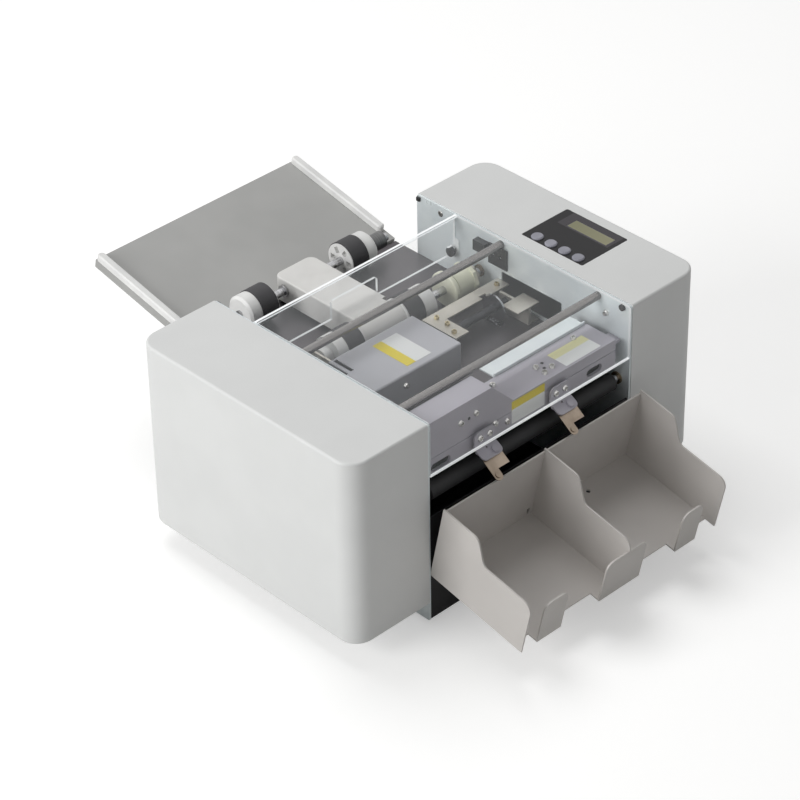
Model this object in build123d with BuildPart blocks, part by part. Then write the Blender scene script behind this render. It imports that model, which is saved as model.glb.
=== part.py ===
from build123d import *
import math
import os

os.makedirs("parts", exist_ok=True)

# Desktop business card cutter. Millimetres, X across, Y from the card tray (front) to the feed
# tray (rear), Z up from the table. Y values of pieces are counted from the housings' front face.

# Housings and chassis
overall_width = 440.0
plate_gap = 259.0          # between the housings' inner faces
housing_depth = 276.0
housing_height = 196.0
foot_height = 5.0
base_lift = 19.0           # black base below the housings
housing_wall = 3.0
housing_corner = 20.0      # outer vertical corners
housing_edge = 2.5
plate_t = 1.8              # zinc side plates
sheet_t = 1.5              # folded sheet pieces
fit_gap = 0.3              # between pieces of different bodies
seat_gap = 0.2             # between stacked pieces of one body
bore_clear = 0.05          # running fit, on the radius

# Paper path
paper_drop = 66.5          # paper plane below the housings' top
roller_r = 18.0
tyre_t = 3.0
tyre_w = 19.5
rim_step = 0.8             # the hubs' rims stay below the tyres by this much
clutch_step = 0.3
drum_step = 3.0
drum_nut_step = 1.0
rim_r = roller_r - rim_step
clutch_r = roller_r - clutch_step
shaft_r = 4.0
rear_shaft_y = 297.0
mid_shaft_y = 191.5
rear_tyre_in = 48.0        # inner side of each rear tyre from the centre
mid_left_tyre = -56.6
mid_right_tyre = 19.9
deck_front_y = 37.0
deck_rear_y = 306.0
deck_t = 2.0

# Feed arm
arm_left = -25.0
arm_right = 23.0
arm_front_y = 203.0
arm_rear_y = 312.0
arm_top = 11.0             # above the shafts' axes
arm_clear = 4.0            # the arm's underside above the sheet
arm_under = roller_r - arm_clear
arm_wall = 2.0
barrel_left = -35.0
barrel_right = 18.0
barrel_step = 3.0          # the barrel stays below the tyres by this much
barrel_r = roller_r - barrel_step
pulley_r = 6.0
belt_t = 1.2

# Feed tray
feed_slope = 12.0
feed_length = 143.0
feed_width = 256.0
feed_rail_w = 8.0
feed_rail_h = 7.0

# Catch tray
catch_slope = 12.0
catch_length = 114.0
catch_width = 254.0
catch_wall = 1.6
catch_high = 83.0          # side walls at the back
catch_low = 58.0           # side walls at the front
catch_back = 80.0          # back wall
catch_step = 42.0          # from the back wall to the step down
catch_corner = 10.0
catch_foot_lift = 31.5     # back foot above the housings' underside
catch_notch = 11.0
flap_h = 47.0
hook_w = 16.0
hook_drop = 6.0

# Cover
cover_t = 2.5
cover_depth = 226.0
cover_front_drop = 57.0
cover_rear_drop = 43.0
cover_side_gap = 0.9
cover_bend = 4.0
notch_left = -33.0
notch_right = 25.0
notch_height = 20.0
pivot_r = 2.5

# Tie rods
rod_r = 4.0
front_rod_y = 41.0
rear_rod_y = 163.5

# Panel and buttons on the right housing
panel_x = 176.0
panel_y = 116.0
panel_w = 62.0
panel_l = 77.0
panel_t = 1.5
button_r = 6.0
button_pitch = 17.3
button_row = -24.0         # from the panel's centre
button_stand = 1.8
button_travel = 1.2
lcd_w = 14.0
lcd_l = 50.0
lcd_off = 16.0

# Front cutter
frame_y = 9.5              # front face of the cutter frame
frame_left = -119.0
frame_right = 118.0
frame_low_drop = 36.0      # top of its low part below the housings' top
frame_high_drop = 9.0
frame_bottom_drop = 63.0
frame_high_depth = 25.5
frame_low_depth = 36.5
frame_t = 3.0
blade_travel = 6.0
blade_y = 20.5
blade_t = 3.0
crank_y = 36.0
crank_r = 3.0
cam_r = 6.5
cam_x = 96.0
cam_play = 0.8
exit_roller_r = 8.5
exit_roller_y = 15.0
exit_under = 18.5          # the exit roller's axis below the paper plane

# Slitter
slit_y = 142.0
slit_blade_r = 14.0
slit_blade_t = 2.0
slit_overlap = 1.0
card_width = 90.0
card_gutter = 10.0
slit_cover_drop = 30.0

# Derived levels
half_width = overall_width / 2
inner_x = plate_gap / 2
plate_out = inner_x - seat_gap
plate_x = plate_out - plate_t         # inner face of a side plate
seat_x = plate_x - seat_gap           # ends of the pieces that span the plates
housing_z = foot_height + base_lift
top_z = housing_z + housing_height
housing_w = half_width - inner_x
paper_z = top_z - paper_drop
deck_z = paper_z - fit_gap            # top of the paper deck
deck_low = deck_z - deck_t
shaft_z = paper_z + roller_r
cos_f = math.cos(math.radians(feed_slope))
sin_f = math.sin(math.radians(feed_slope))
cos_c = math.cos(math.radians(catch_slope))
sin_c = math.sin(math.radians(catch_slope))
front_panel_y = 2.0
catch_foot_y = front_panel_y - fit_gap
catch_foot_z = housing_z + catch_foot_lift

# The origin lies under the middle of the whole machine, so the front face's Y follows from
# how far the two trays reach.
front_reach = (
    (catch_length - catch_corner) * cos_c
    + (catch_low - catch_corner) * sin_c
    + catch_corner
    - catch_foot_y
)
feed_start_y = deck_rear_y + 1.5
rear_reach = feed_start_y + feed_length * cos_f + sheet_t * sin_f
front_y = (front_reach - rear_reach) / 2


def at_y(offset):
    """Y of a place counted from the housings' front face."""
    return front_y + offset


def finish(part, name):
    """Labels a piece and writes its file."""
    part.part.label = name
    export_step(part.part, "parts/" + name + ".step")


def disc(x0, x1, y, z, r, mode=Mode.ADD):
    """Round bar along X between two planes."""
    with BuildSketch(Plane.YZ.offset(x0)) as face:
        with Locations((at_y(y), z)):
            Circle(r)
    extrude(face.sketch, amount=x1 - x0, mode=mode)


def ring(x0, x1, y, z, r, bore):
    """Tube along X."""
    with BuildSketch(Plane.YZ.offset(x0)) as face:
        with Locations((at_y(y), z)):
            Circle(r)
            Circle(bore, mode=Mode.SUBTRACT)
    extrude(face.sketch, amount=x1 - x0)


def block(x0, x1, y0, y1, z0, z1, mode=Mode.ADD):
    """Plain plate or bar between two corners."""
    with BuildSketch(Plane.XY.offset(z0)) as face:
        with Locations(((x0 + x1) / 2, at_y((y0 + y1) / 2))):
            Rectangle(x1 - x0, y1 - y0)
    extrude(face.sketch, amount=z1 - z0, mode=mode)


def profile(x0, x1, points, mode=Mode.ADD):
    """Side outline, its corners given as (y, z), drawn out along X."""
    with BuildSketch(Plane.YZ.offset(x0)) as face:
        with BuildLine():
            Polyline(*[(at_y(y), z) for y, z in points], close=True)
        make_face()
    extrude(face.sketch, amount=x1 - x0, mode=mode)


def front_face(y, points, depth, mode=Mode.ADD):
    """Front outline, its corners given as (x, z), drawn out towards the rear."""
    with BuildSketch(Plane.XZ.offset(-at_y(y))) as face:
        with BuildLine():
            Polyline(*points, close=True)
        make_face()
    extrude(face.sketch, amount=-depth, mode=mode)


def slot_through(y, x0, x1, z0, z1, depth, radius):
    """Rounded opening through an upright plate, seen from the front."""
    with BuildSketch(Plane.XZ.offset(-at_y(y))) as face:
        with Locations(((x0 + x1) / 2, (z0 + z1) / 2)):
            RectangleRounded(x1 - x0, z1 - z0, radius)
    extrude(face.sketch, amount=-depth, mode=Mode.SUBTRACT)


# ---------------------------------------------------------------- chassis

# Black base pan between the side plates: floor with upturned front and rear
front_panel_top = top_z - 102.0
base_rear_y = housing_depth - 2.0
base_rear_top = paper_z - 30.0
hook_x = 70.0
hook_z = top_z - 120.0                # underside of the catch tray's hooks
slot_h = hook_drop + catch_wall + 1.4
with BuildPart() as base_pan:
    block(-seat_x, seat_x, front_panel_y, base_rear_y, foot_height, foot_height + sheet_t)
    block(-seat_x, seat_x, front_panel_y, front_panel_y + sheet_t, foot_height, front_panel_top)
    block(-seat_x, seat_x, base_rear_y - sheet_t, base_rear_y, foot_height, base_rear_top)
    with BuildSketch(Plane.XY.offset(foot_height)):
        with Locations((0, at_y(housing_depth / 2))):
            with GridLocations(34.0, 60.0, 5, 3):
                Rectangle(24.0, 5.0)
    extrude(amount=sheet_t, mode=Mode.SUBTRACT)
    for x in (-hook_x, hook_x):
        low = hook_z - fit_gap
        side = hook_w / 2 + 1.0
        slot_through(front_panel_y, x - side, x + side, low, low + slot_h, sheet_t, 1.0)
finish(base_pan, "base_pan")

foot_spots = [(s * (plate_x - 17.0), at_y(y)) for s in (-1, 1) for y in (22.0, housing_depth - 22.0)]
with BuildPart() as rubber_feet:
    with BuildSketch(Plane.XY.offset(foot_height - seat_gap)):
        with Locations(*foot_spots):
            Circle(8.0)
    extrude(amount=-(foot_height - seat_gap), taper=8)
finish(rubber_feet, "rubber_feet")

# Places of the shafts, each as (y, z)
plate_top = top_z - 1.0
pivot_y = cover_depth - 1.5
pivot_z = top_z - cover_rear_drop + 3.0
exit_z = paper_z - exit_under
slit_drop = slit_blade_r - slit_overlap / 2
slit_up_z = paper_z + slit_drop
slit_low_z = paper_z - slit_drop
crank_z = top_z - frame_low_drop - 16.5
rod_z = top_z - cover_t - 2 * fit_gap - rod_r
window_front = 86.0
window_rear = 163.0
window_top = top_z - 37.0
window_low = paper_z + 2.5
bush_r = 6.0
both_sides = (
    (exit_roller_y, exit_z, shaft_r),
    (slit_y, slit_low_z, shaft_r),
    (crank_y, crank_z, crank_r),
)
left_bores = both_sides + ((slit_y, slit_up_z, shaft_r),)
right_bores = both_sides + ((mid_shaft_y, shaft_z, shaft_r),)


def side_plate(side, bores):
    """Zinc plate with a hole for each bush and for the cover's pivot."""
    with BuildPart() as plate:
        with BuildSketch(Plane.YZ.offset(side * plate_x)):
            with Locations((at_y(housing_depth / 2), (foot_height + plate_top) / 2)):
                RectangleRounded(housing_depth - 1.0, plate_top - foot_height, 2.0)
        extrude(amount=side * plate_t)
        for y, z, r in bores:
            disc(side * plate_x, side * inner_x, y, z, bush_r + bore_clear, Mode.SUBTRACT)
        disc(side * plate_x, side * inner_x, pivot_y, pivot_z, pivot_r + bore_clear, Mode.SUBTRACT)
    return plate


left_side_plate = side_plate(-1, left_bores)
finish(left_side_plate, "left_side_plate")

right_blank = side_plate(1, right_bores)
with BuildPart() as right_side_plate:
    add(right_blank.part)
    disc(plate_x, plate_out, 198.6, top_z - 20.8, 2.6, Mode.SUBTRACT)
    block(plate_x, plate_out, window_front, window_rear, window_low, window_top, Mode.SUBTRACT)
finish(right_side_plate, "right_side_plate")

# Bushes of the shafts that run through the side plates
with BuildPart() as shaft_bushes:
    for side, bores in ((-1, left_bores), (1, right_bores)):
        for y, z, r in bores:
            ring(side * (seat_x - sheet_t), side * plate_out, y, z, bush_r, r + bore_clear)
finish(shaft_bushes, "shaft_bushes")


def housing_shell(side):
    """White housing: rounded box, hollow and open towards its side plate."""
    hollow_w = housing_w - housing_wall
    with BuildPart() as shell:
        with BuildSketch(Plane.XY.offset(housing_z)) as outline:
            with Locations((side * (inner_x + housing_w / 2), at_y(housing_depth / 2))):
                Rectangle(housing_w, housing_depth)
            fillet(outline.vertices().group_by(Axis.X)[-1 if side > 0 else 0], housing_corner)
        extrude(amount=housing_height)
        flats = shell.faces().filter_by(Axis.Z)
        rims = [e for e in flats.edges() if abs(e.center().X) > inner_x + 0.01]
        fillet(rims, housing_edge)
        with BuildSketch(Plane.XY.offset(housing_z + housing_wall)) as hollow:
            with Locations((side * (inner_x + hollow_w / 2), at_y(housing_depth / 2))):
                Rectangle(hollow_w, housing_depth - 2 * housing_wall)
            fillet(hollow.vertices().group_by(Axis.X)[-1 if side > 0 else 0], housing_corner - housing_wall)
        extrude(amount=housing_height - 2 * housing_wall, mode=Mode.SUBTRACT)
    return shell


left_housing = housing_shell(-1)
finish(left_housing, "left_housing")

button_flange = 1.2
button_ys = [panel_y + (1.5 - i) * button_pitch - 1.3 for i in range(4)]
inlet_x = half_width - 46.0
inlet_z = housing_z + 34.0
inlet_w = 48.0
inlet_h = 28.0
right_shell = housing_shell(1)
with BuildPart() as right_housing:
    add(right_shell.part)
    with BuildSketch(Plane.XY.offset(top_z - panel_t - seat_gap)):
        with Locations((panel_x, at_y(panel_y))):
            RectangleRounded(panel_w + 2 * seat_gap, panel_l + 2 * seat_gap, 2.0)
    extrude(amount=panel_t + seat_gap, mode=Mode.SUBTRACT)
    with BuildSketch(Plane.XY.offset(top_z - housing_wall)):
        with Locations((panel_x, at_y(panel_y))):
            RectangleRounded(panel_w - 4.0, panel_l - 4.0, 2.0)
        with Locations(*[(panel_x + button_row, at_y(y)) for y in button_ys]):
            Circle(button_r + button_flange + 3 * fit_gap)
    extrude(amount=housing_wall - panel_t - seat_gap, mode=Mode.SUBTRACT)
    slot_through(
        housing_depth - housing_wall,
        inlet_x - inlet_w / 2,
        inlet_x + inlet_w / 2,
        inlet_z - inlet_h / 2,
        inlet_z + inlet_h / 2,
        housing_wall,
        1.0,
    )
finish(right_housing, "right_housing")

with BuildPart() as tie_rods:
    for y in (front_rod_y, rear_rod_y):
        disc(-seat_x, seat_x, y, rod_z, rod_r)
finish(tie_rods, "tie_rods")

# Black lid stops at the front corners and end caps at the rear ones
with BuildPart() as corner_caps:
    for s in (-1, 1):
        disc(s * (seat_x - 2.0), s * seat_x, 10.7, top_z - 6.0, 3.2)
        x0, x1 = sorted((s * (seat_x - 2.0), s * seat_x))
        block(x0, x1, housing_depth - 5.5, housing_depth - 1.5, top_z - 6.5, top_z - 2.5)
finish(corner_caps, "corner_caps")

# Mains inlet low on the right housing's rear wall
with BuildPart() as mains_inlet:
    with BuildSketch(Plane.XZ.offset(-at_y(housing_depth + seat_gap))):
        with Locations((inlet_x, inlet_z)):
            RectangleRounded(inlet_w + 8.0, inlet_h + 8.0, 3.0)
    extrude(amount=-2.0)
    with BuildSketch(Plane.XZ.offset(-at_y(housing_depth + seat_gap))):
        with Locations((inlet_x, inlet_z)):
            RectangleRounded(inlet_w - 2 * seat_gap, inlet_h - 2 * seat_gap, 1.0)
    extrude(amount=24.0)
    with BuildSketch(Plane.XZ.offset(-at_y(housing_depth + seat_gap + 2.0))):
        with Locations((inlet_x, inlet_z)):
            RectangleRounded(25.0, 17.0, 3.0)
    extrude(amount=17.0, mode=Mode.SUBTRACT)
    with BuildSketch(Plane.XZ.offset(-at_y(housing_depth - 15.0))):
        with Locations(*[(inlet_x + dx, inlet_z + dz) for dx, dz in ((-7.0, -2.0), (0.0, 3.0), (7.0, -2.0))]):
            Rectangle(2.0, 5.0)
    extrude(amount=-13.0)
finish(mains_inlet, "mains_inlet")

# ---------------------------------------------------------------- control panel

button_x = panel_x + button_row
lcd_x = panel_x + lcd_off
panel_low = top_z - panel_t
with BuildPart() as control_panel:
    with BuildSketch(Plane.XY.offset(panel_low)):
        with Locations((panel_x, at_y(panel_y))):
            RectangleRounded(panel_w, panel_l, 2.0)
        with Locations(*[(button_x, at_y(y)) for y in button_ys]):
            Circle(button_r + fit_gap, mode=Mode.SUBTRACT)
    extrude(amount=panel_t)
    with BuildSketch(Plane.XY.offset(top_z - 1.2)):
        with Locations((lcd_x, at_y(panel_y - 6.0))):
            RectangleRounded(lcd_w + 2 * seat_gap, lcd_l + 2 * seat_gap, 1.0)
    extrude(amount=1.2, mode=Mode.SUBTRACT)
finish(control_panel, "control_panel")

with BuildPart() as lcd_window:
    with BuildSketch(Plane.XY.offset(top_z - 1.0)):
        with Locations((lcd_x, at_y(panel_y - 6.0))):
            RectangleRounded(lcd_w, lcd_l, 1.0)
    extrude(amount=0.9)
finish(lcd_window, "lcd_window")

board_z = panel_low - 9.0
with BuildPart() as control_board:
    block(panel_x - 27.0, panel_x + 27.0, panel_y - 35.0, panel_y + 35.0, board_z, board_z + 1.6)
    with BuildSketch(Plane.XY.offset(board_z + 1.6)):
        with Locations((panel_x + 8.0, at_y(panel_y))):
            with GridLocations(32.0, 64.0, 2, 2):
                Circle(2.5)
    extrude(amount=panel_low - seat_gap - board_z - 1.6)
    with BuildSketch(Plane.XY.offset(board_z + 1.6)):
        with Locations(*[(button_x, at_y(y)) for y in button_ys]):
            Rectangle(6.0, 6.0)
    extrude(amount=2.0)
finish(control_board, "control_board")


def push_button(y):
    """Round key with a flange below the panel and a short stem."""
    with BuildPart() as key:
        with BuildSketch(Plane.XY.offset(panel_low - 1.5)):
            with Locations((button_x, at_y(y))):
                Circle(button_r)
        extrude(amount=panel_t + 1.5 + button_stand)
        chamfer(key.edges().group_by(Axis.Z)[-1], 1.0)
        with BuildSketch(Plane.XY.offset(panel_low - 1.5)):
            with Locations((button_x, at_y(y))):
                Circle(button_r + button_flange)
        extrude(amount=1.5 - fit_gap)
        with BuildSketch(Plane.XY.offset(panel_low - 1.5)):
            with Locations((button_x, at_y(y))):
                Circle(2.0)
        extrude(amount=-(7.5 - 3.6 - button_travel - fit_gap))
    return key


button_1 = push_button(button_ys[0])
finish(button_1, "button_1")
button_2 = push_button(button_ys[1])
finish(button_2, "button_2")
button_3 = push_button(button_ys[2])
finish(button_3, "button_3")
button_4 = push_button(button_ys[3])
finish(button_4, "button_4")

# ---------------------------------------------------------------- paper deck and feed tray

edge_cut = card_width + card_gutter / 2
inner_cut = card_gutter / 2
cut_lines = (-edge_cut, -inner_cut, inner_cut, edge_cut)
with BuildPart() as paper_deck:
    block(-seat_x, seat_x, deck_front_y, deck_rear_y, deck_low, deck_z)
    for s in (-1, 1):
        wall = s * (seat_x - sheet_t / 2)
        for y0, y1 in ((60.0, 125.0), (160.0, 270.0)):
            block(wall - sheet_t / 2, wall + sheet_t / 2, y0, y1, deck_low - 12.0, deck_low)
    with BuildSketch(Plane.XY.offset(deck_low)):
        with Locations(*[(x, at_y(slit_y)) for x in cut_lines]):
            Rectangle(2 * slit_blade_t + 3.0, 2 * slit_blade_r - 6.0)
    extrude(amount=deck_t, mode=Mode.SUBTRACT)
finish(paper_deck, "paper_deck")

feed_floor_z = paper_z + (feed_start_y - rear_shaft_y) * sin_f / cos_f - fit_gap
feed_plane = Plane(origin=(0, at_y(feed_start_y), feed_floor_z), x_dir=(1, 0, 0), z_dir=(0, -sin_f, cos_f))
lap_top = deck_low - seat_gap
with BuildPart() as feed_tray:
    with BuildSketch(feed_plane):
        with Locations((0, feed_length / 2)):
            Rectangle(feed_width, feed_length)
    extrude(amount=-sheet_t)
    for s in (-1, 1):
        with BuildSketch(feed_plane):
            with Locations((s * (feed_width - sheet_t) / 2, feed_length / 2)):
                Rectangle(sheet_t, feed_length)
        extrude(amount=-9.0)
    front_low = feed_floor_z - sheet_t
    profile(
        -seat_x + 2.0,
        seat_x - 2.0,
        (
            (feed_start_y - 12.0, lap_top),
            (feed_start_y - 12.0, lap_top - sheet_t),
            (feed_start_y + sheet_t, lap_top - sheet_t),
            (feed_start_y + sheet_t, front_low + 1.0),
            (feed_start_y, front_low + 1.0),
            (feed_start_y, lap_top),
        ),
    )
finish(feed_tray, "feed_tray")

rail_start = 14.0
with BuildPart() as feed_tray_rails:
    for s in (-1, 1):
        with BuildSketch(feed_plane.offset(seat_gap)):
            with Locations((s * (feed_width - feed_rail_w) / 2, (feed_length + rail_start) / 2)):
                RectangleRounded(feed_rail_w, feed_length - rail_start, feed_rail_w / 2 - 0.2)
        extrude(amount=feed_rail_h)
    crowns = feed_tray_rails.faces().sort_by(lambda f: feed_plane.to_local_coords(f.center()).Z)[-2:]
    chamfer(crowns.edges(), 1.4)
finish(feed_tray_rails, "feed_tray_rails")

# Gussets from the base's rear panel to the feed tray's underside
gusset_y = base_rear_y + seat_gap
gusset_top = lap_top - sheet_t - seat_gap
gusset_end = feed_start_y + 92.0
gusset_end_z = feed_floor_z + 92.0 * sin_f / cos_f - sheet_t / cos_f - seat_gap
gusset_turn_z = feed_floor_z + 4.0 * sin_f / cos_f - sheet_t / cos_f - seat_gap
with BuildPart() as tray_gussets:
    for x in (-90.0, 88.0):
        profile(
            x,
            x + 2.0,
            (
                (gusset_y, gusset_top - 58.0),
                (gusset_y, gusset_top),
                (feed_start_y + sheet_t + 2.5, gusset_top),
                (feed_start_y + sheet_t + 2.5, gusset_turn_z),
                (gusset_end, gusset_end_z),
                (gusset_end, gusset_end_z - 8.0),
            ),
        )
        block(x, x + 14.0, gusset_y, gusset_y + sheet_t, gusset_top - 58.0, gusset_top - 30.0)
finish(tray_gussets, "tray_gussets")

# ---------------------------------------------------------------- feed rollers

hub_r = roller_r - tyre_t
rear_tyre_out = rear_tyre_in + tyre_w
with BuildPart() as rear_feed_shaft:
    disc(-83.0, 106.0, rear_shaft_y, shaft_z, shaft_r)
    for side in (arm_left - fit_gap - 2.5, arm_right + fit_gap):
        disc(side, side + 2.5, rear_shaft_y, shaft_z, 6.0)
finish(rear_feed_shaft, "rear_feed_shaft")

with BuildPart() as rear_feed_collar:
    ring(86.0, 100.0, rear_shaft_y, shaft_z, 8.5, shaft_r + bore_clear)
finish(rear_feed_collar, "rear_feed_collar")

rear_hub_end = rear_tyre_out + 13.5
hub_bore = shaft_r + bore_clear
rim_t = 0.9
pocket_in = hub_bore + 3.5
pocket_out = hub_r - bore_clear - rim_t
with BuildPart() as rear_feed_hubs:
    for s in (-1, 1):
        inner = s * (rear_tyre_in - rim_t)
        ring(inner, s * rear_hub_end, rear_shaft_y, shaft_z, hub_r - bore_clear, hub_bore)
        ring(inner, s * (rear_tyre_in - bore_clear), rear_shaft_y, shaft_z, rim_r, hub_bore)
        ring(s * (rear_tyre_out + bore_clear), s * rear_hub_end, rear_shaft_y, shaft_z, rim_r, hub_bore)
    ends = rear_feed_hubs.edges().filter_by(GeomType.CIRCLE).filter_by(lambda e: e.radius > hub_r)
    chamfer(ends.sort_by(lambda e: abs(e.center().X))[-2:], 2.4)
    for s in (-1, 1):
        with BuildSketch(Plane.YZ.offset(s * (rear_tyre_in - rim_t))) as pockets:
            with Locations((at_y(rear_shaft_y), shaft_z)):
                with PolarLocations((pocket_in + pocket_out) / 2, 6):
                    Rectangle(pocket_out - pocket_in, 5.0)
        extrude(pockets.sketch, amount=s * 4.0, mode=Mode.SUBTRACT)
    ring(-5.0, 5.0, rear_shaft_y, shaft_z, pulley_r, hub_bore)
finish(rear_feed_hubs, "rear_feed_hubs")

with BuildPart() as rear_feed_tyres:
    for s in (-1, 1):
        ring(s * rear_tyre_in, s * rear_tyre_out, rear_shaft_y, shaft_z, roller_r, hub_r)
finish(rear_feed_tyres, "rear_feed_tyres")

mid_left_end = mid_left_tyre - 12.0
mid_left_in = mid_left_tyre + tyre_w
mid_right_out = mid_right_tyre + tyre_w
mid_right_end = mid_right_out + 15.0
with BuildPart() as mid_feed_shaft:
    disc(-84.0, plate_out + 2.0, mid_shaft_y, shaft_z, shaft_r)
finish(mid_feed_shaft, "mid_feed_shaft")

with BuildPart() as mid_feed_hubs:
    ring(mid_left_end, barrel_left - fit_gap, mid_shaft_y, shaft_z, hub_r - bore_clear, hub_bore)
    ring(mid_left_end, mid_left_tyre - bore_clear, mid_shaft_y, shaft_z, rim_r, hub_bore)
    ring(mid_left_in + bore_clear, barrel_left - fit_gap, mid_shaft_y, shaft_z, rim_r, hub_bore)
    ring(mid_left_end - 9.0, mid_left_end, mid_shaft_y, shaft_z, 8.0, hub_bore)
    ring(barrel_right + fit_gap, mid_right_end, mid_shaft_y, shaft_z, hub_r - bore_clear, hub_bore)
    ring(barrel_right + fit_gap, mid_right_tyre - bore_clear, mid_shaft_y, shaft_z, rim_r, hub_bore)
    ring(mid_right_out + bore_clear, mid_right_end, mid_shaft_y, shaft_z, rim_r, hub_bore)
    ring(-5.0, 5.0, mid_shaft_y, shaft_z, pulley_r, hub_bore)
finish(mid_feed_hubs, "mid_feed_hubs")

with BuildPart() as mid_feed_tyres:
    for x in (mid_left_tyre, mid_right_tyre):
        ring(x, x + tyre_w, mid_shaft_y, shaft_z, roller_r, hub_r)
finish(mid_feed_tyres, "mid_feed_tyres")

with BuildPart() as clutch_disc:
    ring(79.5, 85.0, mid_shaft_y, shaft_z, clutch_r, hub_bore)
    chamfer(clutch_disc.edges().filter_by(GeomType.CIRCLE).sort_by(SortBy.RADIUS)[-2:], 1.0)
finish(clutch_disc, "clutch_disc")

with BuildPart() as clutch_drum:
    ring(87.0, 106.0, mid_shaft_y, shaft_z, roller_r - drum_step, shaft_r + bore_clear)
    with BuildSketch(Plane.YZ.offset(106.0)):
        with Locations((at_y(mid_shaft_y), shaft_z)):
            RegularPolygon(roller_r - drum_nut_step, 8)
            Circle(shaft_r + bore_clear, mode=Mode.SUBTRACT)
    extrude(amount=4.0)
finish(clutch_drum, "clutch_drum")

# Arm that carries the rear shaft and swings on the middle one
arm_x = (arm_left + arm_right) / 2
arm_w = arm_right - arm_left
arm_low = shaft_z - arm_under
arm_high = shaft_z + arm_top
arm_y = (arm_front_y + arm_rear_y) / 2
with BuildPart() as feed_arm:
    with BuildSketch(Plane.XY.offset(arm_low)) as arm_plan:
        with Locations((arm_x, at_y(arm_y))):
            Rectangle(arm_w, arm_rear_y - arm_front_y)
        fillet(arm_plan.vertices().group_by(Axis.Y)[-1], 8.0)
    extrude(amount=arm_high - arm_low)
    fillet(feed_arm.edges().group_by(Axis.Z)[-1], 1.5)
    disc(barrel_left, barrel_right, mid_shaft_y, shaft_z, barrel_r)
    with BuildSketch(Plane.XY.offset(arm_low)) as arm_hollow:
        with Locations((arm_x, at_y(arm_y))):
            Rectangle(arm_w - 2 * arm_wall, arm_rear_y - arm_front_y - 2 * arm_wall)
        fillet(arm_hollow.vertices().group_by(Axis.Y)[-1], 8.0 - arm_wall)
    extrude(amount=arm_high - arm_low - arm_wall, mode=Mode.SUBTRACT)
    relief_y = mid_shaft_y + roller_r + 1.0
    block(barrel_right, arm_right, arm_front_y, relief_y, arm_low, arm_high, Mode.SUBTRACT)
    block(barrel_right - arm_wall, arm_right - 0.5, relief_y, relief_y + arm_wall, arm_low, arm_high - 1.0)
    block(barrel_right - arm_wall, barrel_right, arm_front_y, relief_y + 1.0, arm_low, arm_high - 1.0)
    for x0, x1 in ((arm_left, arm_left + 5.0), (arm_right - 5.0, arm_right)):
        disc(x0, x1, rear_shaft_y, shaft_z, 8.0)
    disc(barrel_left + 4.0, barrel_right - 4.0, mid_shaft_y, shaft_z, barrel_r - 2.5, Mode.SUBTRACT)
    block(-8.0, 8.0, mid_shaft_y, arm_front_y + 4.0, shaft_z - 9.0, shaft_z + 9.0, Mode.SUBTRACT)
    disc(barrel_left, barrel_right, mid_shaft_y, shaft_z, shaft_r + bore_clear, Mode.SUBTRACT)
    disc(arm_left, arm_right, rear_shaft_y, shaft_z, shaft_r + bore_clear, Mode.SUBTRACT)
finish(feed_arm, "feed_arm")


def belt_loop(radius, mode):
    """Loop around the two pulleys."""
    centre = at_y((mid_shaft_y + rear_shaft_y) / 2)
    with BuildSketch(Plane.YZ.offset(-4.0)) as face:
        with Locations((centre, shaft_z)):
            SlotCenterToCenter(rear_shaft_y - mid_shaft_y, 2 * radius)
    extrude(face.sketch, amount=8.0, mode=mode)


with BuildPart() as feed_belt:
    belt_loop(pulley_r + bore_clear + belt_t, Mode.ADD)
    belt_loop(pulley_r + bore_clear, Mode.SUBTRACT)
finish(feed_belt, "feed_belt")

# ---------------------------------------------------------------- slitter

slit_cover_z = top_z - slit_cover_drop
slit_cover_right = 9.6
slit_cover_front = 99.0
slit_cover_rear = 163.0
cover_skirt = paper_z + 4.5
with BuildPart() as slitter_cover:
    block(-seat_x, slit_cover_right, slit_cover_front, slit_cover_rear, cover_skirt, slit_cover_z)
    fillet(slitter_cover.edges().filter_by(Axis.X).group_by(Axis.Z)[-1], 2.0)
    block(
        -seat_x + sheet_t,
        slit_cover_right - sheet_t,
        slit_cover_front + sheet_t,
        slit_cover_rear - sheet_t,
        cover_skirt,
        slit_cover_z - sheet_t,
        Mode.SUBTRACT,
    )
    slot_z = slit_cover_z - sheet_t
    slot_y = slit_cover_rear - sheet_t
    block(-91.0, -87.0, 137.0, 160.0, slot_z, slit_cover_z, Mode.SUBTRACT)
    block(-99.5, -95.0, 136.0, slit_cover_rear, slot_z, slit_cover_z, Mode.SUBTRACT)
    for x0 in (-seat_x, slit_cover_right - sheet_t):
        block(x0, x0 + sheet_t, slit_y - 9.0, slit_y + 9.0, cover_skirt, slit_up_z + 9.0, Mode.SUBTRACT)
    block(-99.5, -95.0, slot_y, slit_cover_rear, slit_cover_z - 8.0, slit_cover_z, Mode.SUBTRACT)
finish(slitter_cover, "slitter_cover")

bearing_x = 112.0
with BuildPart() as upper_slit_shaft:
    disc(-plate_out - 2.0, bearing_x + 5.0, slit_y, slit_up_z, shaft_r)
finish(upper_slit_shaft, "upper_slit_shaft")

with BuildPart() as lower_slit_shaft:
    disc(-plate_out - 2.0, plate_out + 2.0, slit_y, slit_low_z, shaft_r)
finish(lower_slit_shaft, "lower_slit_shaft")

shear_gap = 2 * bore_clear
with BuildPart() as upper_slit_blades:
    for x in cut_lines:
        ring(x, x + slit_blade_t, slit_y, slit_up_z, slit_blade_r, shaft_r + bore_clear)
        ring(x + slit_blade_t, x + slit_blade_t + 5.0, slit_y, slit_up_z, 7.5, shaft_r + bore_clear)
finish(upper_slit_blades, "upper_slit_blades")

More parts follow.
